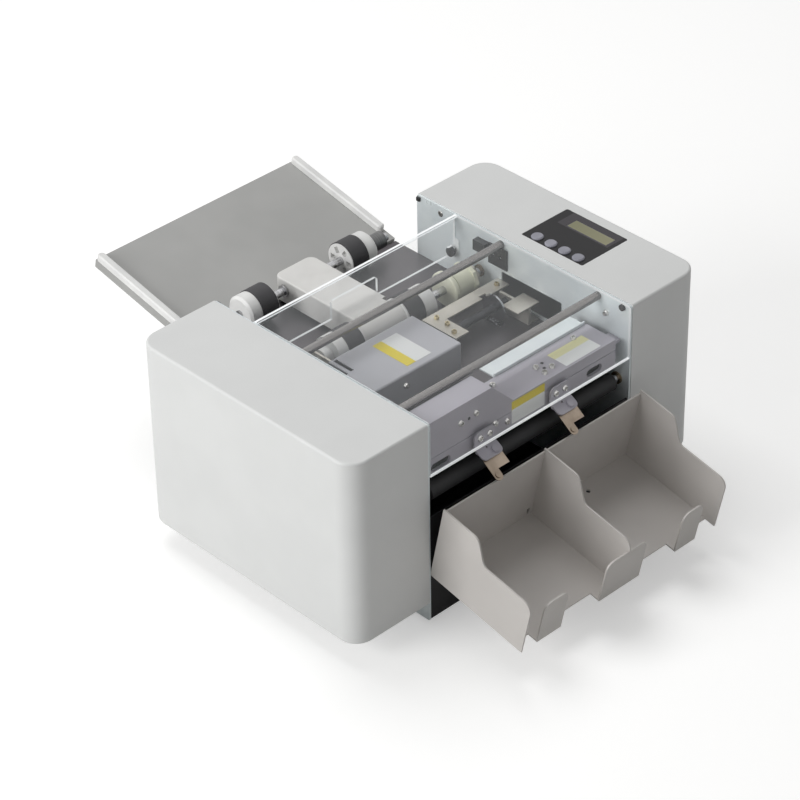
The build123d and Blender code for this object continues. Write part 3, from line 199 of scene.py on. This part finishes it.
paint("left_housing right_housing", "housing")
paint("catch_tray", "tray")
paint("base_pan", "base")
paint("cutter_frame", "frame")
paint("slitter_cover", "greyBox")
paint("feed_tray", "feedFloor")
paint("left_side_plate right_side_plate cutter_guide_plate", "zinc")
paint("paper_deck", "deck")
paint("tray_gussets exit_guide", "zincDull")
paint("slitter_bridge slitter_bracket", "zincWarm")
paint("presser_plates", "frame")
paint("tie_rods", "rod")
paint("mid_feed_shaft rear_feed_shaft lower_slit_shaft exit_roller_shaft crank_shaft", "steel")
paint("upper_slit_blades lower_slit_blades moving_blade anvil_blade", "blade")
paint("upper_slit_shaft blade_carrier", "dark")
paint("rear_feed_collar", "collar")
paint("mid_shaft_brackets", "zincWarm")
paint("shaft_bushes", "bush")
paint("leaf_left leaf_right", "bronze")
paint("rubber_feet exit_roller feed_belt", "rubber")
paint("rear_feed_tyres mid_feed_tyres", "tyre")
paint("feed_tray_rails mid_feed_hubs rear_feed_hubs", "white")
paint("feed_arm", "arm")
paint("clutch_disc clutch_drum", "cream")
paint("corner_caps mains_inlet pivot_knobs limit_switch main_motor feed_motor", "black")
paint("button_1 button_2 button_3 button_4", "key")
paint("control_board", "board")
print("CAD nodes painted")

# display: a smoked window with the greenish glass of the idle screen showing through its middle
displaySpec = {"frame": "#45434a", "glass": "#84815f", "glassLow": "#75744f", "inset": 0.0009, "edge": 0.0003}
panelSpec = {
    "film": "#131214", "filmLight": "#19181a", "mask": "#3c393d", "maskEdge": 0.0004, "grainMm": 0.6, "depthMm": 0.01,
    "rough": (0.28, 0.42), "grow": {"X": (0.1, 0.5), "Y": (0.06, 0.2)},  # mask past the window, in shares of it
}


def insideBox(tree, place, reach, edge):
    # 1 within the box that reach gives for X and Y, 0 outside it, soft over the edge
    axes = addNode(tree, "ShaderNodeSeparateXYZ", {"Vector": place})
    sides = []
    for axis, (start, end) in reach.items():
        offset = addNode(tree, "ShaderNodeMath", {0: axes.outputs[axis], 1: (start + end) / 2},
                         operation="SUBTRACT")
        away = addNode(tree, "ShaderNodeMath", {0: offset.outputs[0]}, operation="ABSOLUTE")
        sides.append(addNode(tree, "ShaderNodeMapRange", {"Value": away.outputs[0], "From Min": (end - start) / 2,
                                                          "From Max": (end - start) / 2 + edge,
                                                          "To Min": 1.0, "To Max": 0.0}).outputs["Result"])
    return addNode(tree, "ShaderNodeMath", {0: sides[0], 1: sides[1]}, operation="MULTIPLY").outputs[0]


def displayMaterial():
    # polycarbonate window over a reflective liquid-crystal glass, moulded and glossy
    material, tree, shader, place = startMaterial("polycarbonateDisplayWindow", ior=1.58, Roughness=0.16)
    low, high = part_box("lcd_window")
    inset = displaySpec["inset"]
    glassMask = insideBox(tree, place, {"X": (low.x + inset, high.x - inset),
                                        "Y": (low.y + inset, high.y - inset)}, displaySpec["edge"])
    axes = addNode(tree, "ShaderNodeSeparateXYZ", {"Vector": place})
    ramp = addNode(tree, "ShaderNodeMapRange", {"Value": axes.outputs["Y"], "From Min": low.y, "From Max": high.y})
    glass = addNode(tree, "ShaderNodeMix", {"Factor": ramp.outputs["Result"], "A": linear(displaySpec["glass"]),
                                            "B": linear(displaySpec["glassLow"])}, data_type="RGBA")
    tone = addNode(tree, "ShaderNodeMix", {"Factor": glassMask, "A": linear(displaySpec["frame"]),
                                           "B": glass.outputs["Result"]}, data_type="RGBA")
    tree.links.new(tone.outputs["Result"], shader.inputs["Base Color"])
    return material


def panelMaterial():
    # satin polyester film laid over the panel: near black, with the paler mask of the display's window
    material, tree, shader, place = startMaterial("satinFilmNearBlack", ior=1.45, Specular_IOR_Level=0.25)
    low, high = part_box("lcd_window")
    wide, long = high.x - low.x, high.y - low.y
    growX, growY = panelSpec["grow"]["X"], panelSpec["grow"]["Y"]
    mask = insideBox(tree, place, {"X": (low.x - growX[0] * wide, high.x + growX[1] * wide),
                                   "Y": (low.y - growY[0] * long, high.y + growY[1] * long)}, panelSpec["maskEdge"])
    film = addNode(tree, "ShaderNodeMix", {"Factor": mottle(tree, place, 12), "A": linear(panelSpec["film"]),
                                           "B": linear(panelSpec["filmLight"])}, data_type="RGBA")
    tone = addNode(tree, "ShaderNodeMix", {"Factor": mask, "A": film.outputs["Result"],
                                           "B": linear(panelSpec["mask"])}, data_type="RGBA")
    tree.links.new(tone.outputs["Result"], shader.inputs["Base Color"])
    grain = mottle(tree, place, panelSpec["grainMm"], detail=2.0)
    roughBetween(tree, shader, grain, *panelSpec["rough"])
    relief(tree, shader, grain, panelSpec["depthMm"])
    return material


finish["display"] = displayMaterial()
finish["panel"] = panelMaterial()
paint("lcd_window", "display")
paint("control_panel", "panel")
print("panel and display ready")


coverSpec = {
    # polished faces, then sawn edges: opacity face on, opacity at a glancing angle (a painted reflection), tint and
    # roughness
    "face": {"clear": 0.0, "grazing": 0.13, "tint": "#eef2f4", "rough": 0.03},
    # edge: sawn edges, whitened partly by their frosting and partly as painted highlight
    "edge": {"clear": 0.85, "grazing": 0.95, "tint": "#f6f9fa", "rough": 0.2},
    "scuffMm": 14, "haze": 0.02, "roughSpread": 0.05,
    # painted highlight and painted glow along the rear bend and the flaps' lower edges, standing in for light carried
    # in the sheet leaving it there
    "bendShine": 0.0032, "lugReach": 0.0045, "footShine": 0.0011, "shineAlpha": 0.9, "paintedEdgeGlow": 0.3,
    # which of the lid's faces are sawn, and the rear bend, which takes the same white as a painted highlight: skin of
    # its sides, half-width of its notch, drop of its flaps, its rear bend
    "skin": 0.0002, "notchHalf": 0.06, "flapDrop": 0.02, "rearReach": 0.007, "bendTall": 0.0045,
}


def acrylic(name, look):
    # cast acrylic sheet, laser-cut and line-bent: almost clear face on, with a painted reflection that whitens it
    # where it is seen along the sheet
    material, tree, shader, place = startMaterial(name, ior=1.49)
    shader.inputs["Base Color"].default_value = linear(look["tint"])
    # painted reflection: opacity of the white tint rises towards glancing angles, standing in for the mirrored
    # surroundings
    facing = addNode(tree, "ShaderNodeLayerWeight", {"Blend": 0.35}).outputs["Facing"]
    scuff = mottle(tree, place, coverSpec["scuffMm"], detail=5.0)
    veil = addNode(tree, "ShaderNodeMapRange", {"Value": facing, "To Min": look["clear"], "To Max": look["grazing"]})
    hazy = addNode(tree, "ShaderNodeMath", {0: scuff, 1: coverSpec["haze"]}, operation="MULTIPLY")
    total = addNode(tree, "ShaderNodeMath", {0: veil.outputs["Result"], 1: hazy.outputs[0]}, operation="ADD")
    axes = addNode(tree, "ShaderNodeSeparateXYZ", {"Vector": place})
    low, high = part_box("cover")
    # painted highlight: a strip along the rear bend and one along the flaps' lower edges, made near-opaque white
    rear, band, sole = high.y - coverSpec["lugReach"], coverSpec["bendShine"], coverSpec["footShine"]
    back = addNode(tree, "ShaderNodeMapRange", {"Value": axes.outputs["Y"], "From Min": rear - 1.75 * band,
                                                "From Max": rear - 1.5 * band})
    upper = addNode(tree, "ShaderNodeMapRange", {"Value": axes.outputs["Z"], "From Min": high.z - band,
                                                 "From Max": high.z - 0.8 * band})
    bend = addNode(tree, "ShaderNodeMath", {0: back.outputs["Result"], 1: upper.outputs["Result"]},
                   operation="MULTIPLY")
    foot = addNode(tree, "ShaderNodeMapRange", {"Value": axes.outputs["Z"], "From Min": low.z + sole,
                                                "From Max": low.z + 0.7 * sole})
    shine = addNode(tree, "ShaderNodeMath", {0: bend.outputs[0], 1: foot.outputs["Result"]}, operation="MAXIMUM")
    lit = addNode(tree, "ShaderNodeMath", {0: shine.outputs[0], 1: coverSpec["shineAlpha"]}, operation="MULTIPLY")
    whole = addNode(tree, "ShaderNodeMath", {0: total.outputs[0], 1: lit.outputs[0]}, operation="MAXIMUM")
    # painted glow: the same strips give off white light, though the lid is no lamp
    edgeGlowPaint = addNode(tree, "ShaderNodeMath", {0: shine.outputs[0], 1: coverSpec["paintedEdgeGlow"]}, operation="MULTIPLY")
    shader.inputs["Emission Color"].default_value = (1, 1, 1, 1)
    tree.links.new(edgeGlowPaint.outputs[0], shader.inputs["Emission Strength"])
    tree.links.new(whole.outputs[0], shader.inputs["Alpha"])
    roughBetween(tree, shader, scuff, look["rough"], look["rough"] + coverSpec["roughSpread"])
    return material


def isSawnOrBend(face, high):
    # a sawn side or a flap's lower edge, white partly from its frosting and partly as painted highlight, or the rear
    # bend of the lid, white as a painted highlight
    middle, normal = face.center, face.normal
    onSide = abs(middle.x) > high.x - coverSpec["skin"] or abs(middle.x) < coverSpec["notchHalf"]
    lowerEdge = normal.z < -0.9 and middle.z < high.z - coverSpec["flapDrop"]
    atRear = middle.y > high.y - coverSpec["rearReach"] and middle.z > high.z - coverSpec["bendTall"]
    rearBend = atRear and normal.y > 0.2 and normal.z > 0.02
    return (abs(normal.x) > 0.9 and onSide) or lowerEdge or rearBend


def clearCover():
    # the lid's own solid, its sawn edges and its rear bend set apart from its polished faces; the white of the bend
    # is a painted highlight
    mesh = bpy.data.meshes.new("clearCover")
    sheet = bmesh.new()
    sheet.from_mesh(nodes["cover"].data)
    bmesh.ops.remove_doubles(sheet, verts=sheet.verts, dist=weld)
    bmesh.ops.recalc_face_normals(sheet, faces=sheet.faces)
    sheet.to_mesh(mesh)
    sheet.free()
    mesh.materials.clear()
    mesh.materials.append(acrylic("castAcrylicClear", coverSpec["face"]))
    mesh.materials.append(acrylic("castAcrylicCutEdgeAndBendHighlight", coverSpec["edge"]))
    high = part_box("cover")[1]
    for face in mesh.polygons:
        face.material_index = 1 if isSawnOrBend(face, high) else 0
    lid = bpy.data.objects.new("clear_cover", mesh)
    bpy.context.scene.collection.objects.link(lid)
    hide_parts("cover")
    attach(lid, "cover")


clearCover()
print("cover made")

# screws: every head of the frame's two screw nodes, and the small ones on the cutter's front
screwSpec = {"radius": 0.0032, "crown": 0.78, "cross": 0.0011, "crossLong": 1.35, "deep": 0.5, "sides": 28}
studSpec = {"radius": 0.0028, "crown": 0.9, "cross": 0.0018, "crossLong": 0.9, "deep": 0.45, "sides": 6}
frontScrewSpec = {"front": ((-0.080, 0.192), (-0.0613, 0.1936), (-0.0375, 0.1702), (-0.0224, 0.1648)),
                  "top": (), "tall": 0.0016}
plugSpec = {"radius": 0.0017, "crown": 0.6, "cross": 0.0003, "crossLong": 0.4, "deep": 0.1, "sides": 20,
            "front": ((-0.0699, 0.1921),), "top": ((0.0400, 0.0243), (0.0440, 0.0311)), "tall": 0.0005}
headDepth = 0.001  # a head is drawn this tall, then stretched to its own height
frameTop = 0.184   # the low top of the cutter frame


def screwTree(name, spec):
    # heads on points: a cone-shaped pan with a cross cut into it, turned at random about its axis
    tree = bpy.data.node_groups.new(name, "GeometryNodeTree")
    face = tree.interface
    face.new_socket("Places", in_out="INPUT", socket_type="NodeSocketGeometry")
    for label, value in (("Head Radius", spec["radius"]), ("Crown Share", spec["crown"]),
                         ("Cross Width", spec["cross"]), ("Cross Length Share", spec["crossLong"]),
                         ("Cross Depth Share", spec["deep"])):
        face.new_socket(label, in_out="INPUT", socket_type="NodeSocketFloat").default_value = value
    face.new_socket("Metal", in_out="INPUT", socket_type="NodeSocketMaterial")
    face.new_socket("Heads", in_out="OUTPUT", socket_type="NodeSocketGeometry")
    given = addNode(tree, "NodeGroupInput").outputs
    top = addNode(tree, "ShaderNodeMath", {0: given["Head Radius"], 1: given["Crown Share"]}, operation="MULTIPLY")
    pan = addNode(tree, "GeometryNodeMeshCone", {"Vertices": spec["sides"], "Radius Top": top.outputs[0],
                                                 "Radius Bottom": given["Head Radius"], "Depth": headDepth})
    long = addNode(tree, "ShaderNodeMath", {0: given["Head Radius"], 1: given["Cross Length Share"]},
                   operation="MULTIPLY")
    deep = addNode(tree, "ShaderNodeMath", {0: given["Cross Depth Share"], 1: 2 * headDepth}, operation="MULTIPLY")
    armSize = addNode(tree, "ShaderNodeCombineXYZ", {"X": long.outputs[0], "Y": given["Cross Width"],
                                                     "Z": deep.outputs[0]})
    arm = addNode(tree, "GeometryNodeMeshCube", {"Size": armSize.outputs["Vector"]})
    along = addNode(tree, "GeometryNodeTransform", {"Geometry": arm.outputs["Mesh"],
                                                    "Translation": (0, 0, headDepth)})
    across = addNode(tree, "GeometryNodeTransform", {"Geometry": along.outputs["Geometry"],
                                                     "Rotation": (0, 0, math.pi / 2)})
    cut = addNode(tree, "GeometryNodeMeshBoolean", {"Mesh 1": pan.outputs["Mesh"],
                                                    "Mesh 2": along.outputs["Geometry"]}, operation="DIFFERENCE")
    tree.links.new(across.outputs["Geometry"], cut.inputs["Mesh 2"])  # the second bar of the cross
    facing = addNode(tree, "GeometryNodeInputNamedAttribute", {"Name": "facing"}, data_type="FLOAT_VECTOR")
    tall = addNode(tree, "GeometryNodeInputNamedAttribute", {"Name": "tall"}, data_type="FLOAT")
    upright = addNode(tree, "FunctionNodeAlignRotationToVector", {"Vector": facing.outputs["Attribute"]}, axis="Z")
    chance = addNode(tree, "FunctionNodeRandomValue", {"Max": math.pi, "Seed": 3}, data_type="FLOAT")
    twist = addNode(tree, "FunctionNodeAxisAngleToRotation", {"Angle": chance.outputs["Value"]})
    turned = addNode(tree, "FunctionNodeRotateRotation", {"Rotation": upright.outputs["Rotation"],
                                                          "Rotate By": twist.outputs["Rotation"]},
                     rotation_space="LOCAL")
    share = addNode(tree, "ShaderNodeMath", {0: tall.outputs["Attribute"], 1: 1 / headDepth}, operation="MULTIPLY")
    stretch = addNode(tree, "ShaderNodeCombineXYZ", {"X": 1.0, "Y": 1.0, "Z": share.outputs[0]})
    heads = addNode(tree, "GeometryNodeInstanceOnPoints", {"Points": given["Places"], "Instance": cut.outputs["Mesh"],
                                                           "Rotation": turned.outputs["Rotation"],
                                                           "Scale": stretch.outputs["Vector"]})
    real = addNode(tree, "GeometryNodeRealizeInstances", {"Geometry": heads.outputs["Instances"]})
    metal = addNode(tree, "GeometryNodeSetMaterial", {"Geometry": real.outputs["Geometry"],
                                                      "Material": given["Metal"]})
    addNode(tree, "NodeGroupOutput", {"Heads": metal.outputs["Geometry"]})
    return tree


def headsOf(node):
    # foot, facing and height of each head in a screw node: the thinnest side of each island is its axis
    heads = bmesh.new()
    heads.from_mesh(nodes[node].data)
    bmesh.ops.remove_doubles(heads, verts=heads.verts, dist=weld)
    waiting = set(heads.verts)
    found = []
    for start in heads.verts:  # in the mesh's own order, so that every run turns each head the same way
        if start not in waiting:
            continue
        waiting.remove(start)
        island, edgeOfIt = [], [start]
        while edgeOfIt:
            vert = edgeOfIt.pop()
            island.append(vert.co.copy())
            for edge in vert.link_edges:
                other = edge.other_vert(vert)
                if other in waiting:
                    waiting.remove(other)
                    edgeOfIt.append(other)
        low = Vector([min(co[i] for co in island) for i in range(3)])
        high = Vector([max(co[i] for co in island) for i in range(3)])
        size = high - low
        axis = min(range(3), key=lambda i: size[i])
        middle = (low + high) / 2
        outward = Vector((0, 0, 0))
        outward[axis] = {0: -1 if middle.x > 0 else 1, 1: -1, 2: 1}[axis]
        found.append((middle - outward * size[axis] / 2, outward, size[axis]))
    heads.free()
    return found


def placeScrews(name, found, spec, metal, stands=None):
    # one piece with a head on each spot; stands names the CAD node that it takes the place of
    points = bpy.data.meshes.new(name + "Places")
    points.from_pydata([foot for foot, outward, tall in found], [], [])
    points.attributes.new("facing", "FLOAT_VECTOR", "POINT")
    points.attributes.new("tall", "FLOAT", "POINT")
    for i, (foot, outward, tall) in enumerate(found):
        points.attributes["facing"].data[i].vector = outward
        points.attributes["tall"].data[i].value = tall
    carrier = bpy.data.objects.new(name + "Places", points)
    bpy.context.scene.collection.objects.link(carrier)
    tree = screwTree(name + "Tree", spec)
    modifier = carrier.modifiers.new("heads", "NODES")
    modifier.node_group = tree
    for item in tree.interface.items_tree:
        if item.in_out == "INPUT" and item.name == "Metal":
            modifier[item.identifier] = finish[metal]
    evaluated = carrier.evaluated_get(bpy.context.evaluated_depsgraph_get())
    mesh = bpy.data.meshes.new_from_object(evaluated)
    bpy.data.objects.remove(carrier)
    mesh.materials.clear()
    mesh.materials.append(finish[metal])
    piece = bpy.data.objects.new(name, mesh)
    bpy.context.scene.collection.objects.link(piece)
    if stands:
        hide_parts(stands)
    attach(piece, "chassis")


placeScrews("pan_head_screws", headsOf("pan_screws"), screwSpec, "screw", "pan_screws")
placeScrews("bridge_studs", headsOf("bridge_screws"), studSpec, "brass", "bridge_screws")
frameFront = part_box("cutter_frame")[0].y


def onFrame(spec):
    # spots on the cutter frame: its front face, and the low top behind it
    faceOn = [(Vector((x, frameFront, z)), Vector((0, -1, 0)), spec["tall"]) for x, z in spec["front"]]
    onTop = [(Vector((x, housingFront + y, frameTop)), Vector((0, 0, 1)), spec["tall"]) for x, y in spec["top"]]
    return faceOn + onTop


placeScrews("frame_screws", onFrame(frontScrewSpec), screwSpec, "screw")
placeScrews("frame_plugs", onFrame(plugSpec), plugSpec, "black")
print("screws placed")

# stickers: blank, a coloured band beside a white field; y in millimetres behind the housings' front
labelSpec = {
    "thickness": 0.00012, "seat": 0.0001, "yellow": "#e6d21f", "white": "#eceeed", "pale": "#e9e7b4",
    "slitter_label": {"x": (-0.050, -0.020), "y": (107, 152), "band": (0.0, 0.36)},
    "frame_label": {"x": (-0.017, 0.025), "z": (0.159, 0.1825), "band": (0.64, 1.0)},
    "guide_label": {"x": (0.056, 0.101), "y": (12, 36), "band": (0.6, 1.0)},
}


def labelMaterial(name, bandColour):
    # self-adhesive vinyl under a satin film, faintly worn; the UV map tells the band from the white field
    material, tree, shader, place = startMaterial(name, ior=1.48, Roughness=0.35)
    across = addNode(tree, "ShaderNodeSeparateXYZ", {"Vector": addNode(tree, "ShaderNodeUVMap").outputs["UV"]})
    edge = addNode(tree, "ShaderNodeMath", {0: across.outputs["X"], 1: 0.5}, operation="GREATER_THAN")
    worn = mottle(tree, place, 7)
    shade = addNode(tree, "ShaderNodeMapRange", {"Value": worn, "To Min": 0.96, "To Max": 1.0})
    tone = addNode(tree, "ShaderNodeMix", {"Factor": edge.outputs[0], "A": linear(labelSpec["white"]),
                                           "B": linear(bandColour)}, data_type="RGBA")
    shaded = addNode(tree, "ShaderNodeMix", {"Factor": 1.0, "A": tone.outputs["Result"],
                                             "B": shade.outputs["Result"]}, data_type="RGBA", blend_type="MULTIPLY")
    tree.links.new(shaded.outputs["Result"], shader.inputs["Base Color"])
    return material


def sticker(name, corners, normal, bandSide, material):
    # a thin rectangle cut in two fields; corners run round it, and bandSide tells where the band lies
    a, b, c, d = [Vector(p) for p in corners]
    lift = Vector(normal) * labelSpec["thickness"]
    low, high = labelSpec[name]["band"]
    cuts = sorted({0.0, low, high, 1.0})
    verts, faces, tones = [], [], []
    for start, end in zip(cuts, cuts[1:]):
        isBand = low <= (start + end) / 2 <= high
        if bandSide == "u":
            quad = [a.lerp(b, start), a.lerp(b, end), d.lerp(c, end), d.lerp(c, start)]
        else:
            quad = [a.lerp(d, start), b.lerp(c, start), b.lerp(c, end), a.lerp(d, end)]
        base = len(verts)
        verts += [p + lift for p in quad] + quad
        faces += [(base, base + 1, base + 2, base + 3), (base + 7, base + 6, base + 5, base + 4)]
        faces += [(base + i, base + 4 + i, base + 4 + (i + 1) % 4, base + (i + 1) % 4) for i in range(4)]
        tones += [isBand] * 6
    mesh = bpy.data.meshes.new(name)
    mesh.from_pydata(verts, [], faces)
    uv = mesh.uv_layers.new(name="UVMap")
    for face, isBand in zip(mesh.polygons, tones):
        for loop in face.loop_indices:
            uv.data[loop].uv = (0.75 if isBand else 0.25, 0.5)
    mesh.materials.append(material)
    mesh.update()
    piece = bpy.data.objects.new(name, mesh)
    bpy.context.scene.collection.objects.link(piece)
    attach(piece, "chassis")


def flatSticker(name, top, bandSide, material):
    # a sticker that lies on a level face whose height is top
    x0, x1 = labelSpec[name]["x"]
    y0, y1 = [housingFront + v / 1000 for v in labelSpec[name]["y"]]
    z = top + labelSpec["seat"]
    sticker(name, [(x0, y0, z), (x1, y0, z), (x1, y1, z), (x0, y1, z)], (0, 0, 1), bandSide, material)


def frontSticker(name, material):
    # a sticker on the front face of the cutter frame
    y = frameFront - labelSpec["seat"]
    x0, x1 = labelSpec[name]["x"]
    z0, z1 = labelSpec[name]["z"]
    sticker(name, [(x0, y, z0), (x1, y, z0), (x1, y, z1), (x0, y, z1)], (0, -1, 0), "v", material)


yellowLabel = labelMaterial("vinylLabelYellowBand", labelSpec["yellow"])
paleLabel = labelMaterial("vinylLabelPaleBand", labelSpec["pale"])
flatSticker("slitter_label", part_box("slitter_cover")[1].z, "u", yellowLabel)
flatSticker("guide_label", frameTop, "v", paleLabel)
frontSticker("frame_label", yellowLabel)
print("labels placed")

cameraSpec = {"azimuth": -43.57, "elevation": 35.32, "roll": -1.04, "lens": 142.24, "sensor": 36.0,
              "place": (-1.65082, -1.56553 + housingFront, 1.79373), "reach": 50}


def placeCamera():
    # the photograph's own view, from a camera fitted to its edges
    turn, rise, roll = [math.radians(cameraSpec[k]) for k in ("azimuth", "elevation", "roll")]
    back = Vector((math.sin(turn) * math.cos(rise), -math.cos(turn) * math.cos(rise), math.sin(rise)))
    right = (-back).cross(Vector((0, 0, 1))).normalized()
    up = right.cross(-back)
    camX = math.cos(roll) * right + math.sin(roll) * up
    camY = -math.sin(roll) * right + math.cos(roll) * up
    data = bpy.data.cameras.new("viewCamera")
    data.lens = cameraSpec["lens"]
    data.sensor_width = cameraSpec["sensor"]
    data.clip_end = cameraSpec["reach"]
    camera = bpy.data.objects.new("viewCamera", data)
    camera.matrix_world = Matrix.Translation(cameraSpec["place"]) @ Matrix((camX, camY, back)).transposed().to_4x4()
    bpy.context.scene.collection.objects.link(camera)
    bpy.context.scene.camera = camera


placeCamera()

lightSpec = {
    "key": {"place": (-2.7, 0.55, 1.3), "size": 1.5, "watts": 51, "aim": (0, 0, 0.12)},
    "overhead": {"place": (0.2, 1.1, 2.7), "size": 1.8, "watts": 32, "aim": (0, 0, 0.12)},
}
airSpec = {"diffuse": 0.27, "glossy": 1.0, "seen": 1.0}
floorSpec = {"size": 14.0, "tone": "#e4e4e3", "rough": 0.9, "glow": 0.4}


def placeLights():
    # two softboxes, from the left and from above, each turned to its aim
    for name, spec in lightSpec.items():
        data = bpy.data.lights.new(name + "Softbox", "AREA")
        data.energy = spec["watts"]
        data.size = spec["size"]
        lamp = bpy.data.objects.new(name + "Softbox", data)
        lamp.location = spec["place"]
        aim = Vector(spec["aim"]) - Vector(spec["place"])
        lamp.rotation_euler = aim.to_track_quat("-Z", "Y").to_euler()
        bpy.context.scene.collection.objects.link(lamp)


def placeFloor():
    # pale studio floor: the lens and clear pieces see white, shaded only by the object's own shadow
    mesh = bpy.data.meshes.new("studioFloor")
    s = floorSpec["size"] / 2
    mesh.from_pydata([(-s, -s, 0), (s, -s, 0), (s, s, 0), (-s, s, 0)], [], [(0, 1, 2, 3)])
    floor = bpy.data.objects.new("studioFloor", mesh)
    bpy.context.scene.collection.objects.link(floor)
    material, tree, shader, place = startMaterial("mattePaperSweepPale", Roughness=floorSpec["rough"])
    shader.inputs["Base Color"].default_value = linear(floorSpec["tone"])
    seen = addNode(tree, "ShaderNodeLightPath")
    glow = addNode(tree, "ShaderNodeEmission", {"Color": (1, 1, 1, 1), "Strength": floorSpec["glow"]})
    both = addNode(tree, "ShaderNodeAddShader", {0: shader.outputs[0], 1: glow.outputs[0]})
    pick = addNode(tree, "ShaderNodeMixShader", {0: seen.outputs["Is Camera Ray"], 1: shader.outputs[0],
                                                 2: both.outputs[0]})
    tree.links.new(pick.outputs[0], tree.nodes["Material Output"].inputs["Surface"])
    mesh.materials.append(material)


def paintWorld():
    # white air: dim as fill light, full in reflections and to the lens
    world = bpy.data.worlds.new("studioAir")
    bpy.context.scene.world = world
    world.use_nodes = True
    tree = world.node_tree
    path = addNode(tree, "ShaderNodeLightPath")
    mirrored = addNode(tree, "ShaderNodeMix", {"Factor": path.outputs["Is Glossy Ray"], "A": airSpec["diffuse"],
                                               "B": airSpec["glossy"]})
    air = addNode(tree, "ShaderNodeMix", {"Factor": path.outputs["Is Camera Ray"], "A": mirrored.outputs["Result"],
                                          "B": airSpec["seen"]})
    background = tree.nodes["Background"]
    background.inputs["Color"].default_value = (1, 1, 1, 1)
    tree.links.new(air.outputs["Result"], background.inputs["Strength"])


placeLights()
placeFloor()
paintWorld()
bpy.context.scene.view_settings.view_transform = "Standard"
print("studio ready")
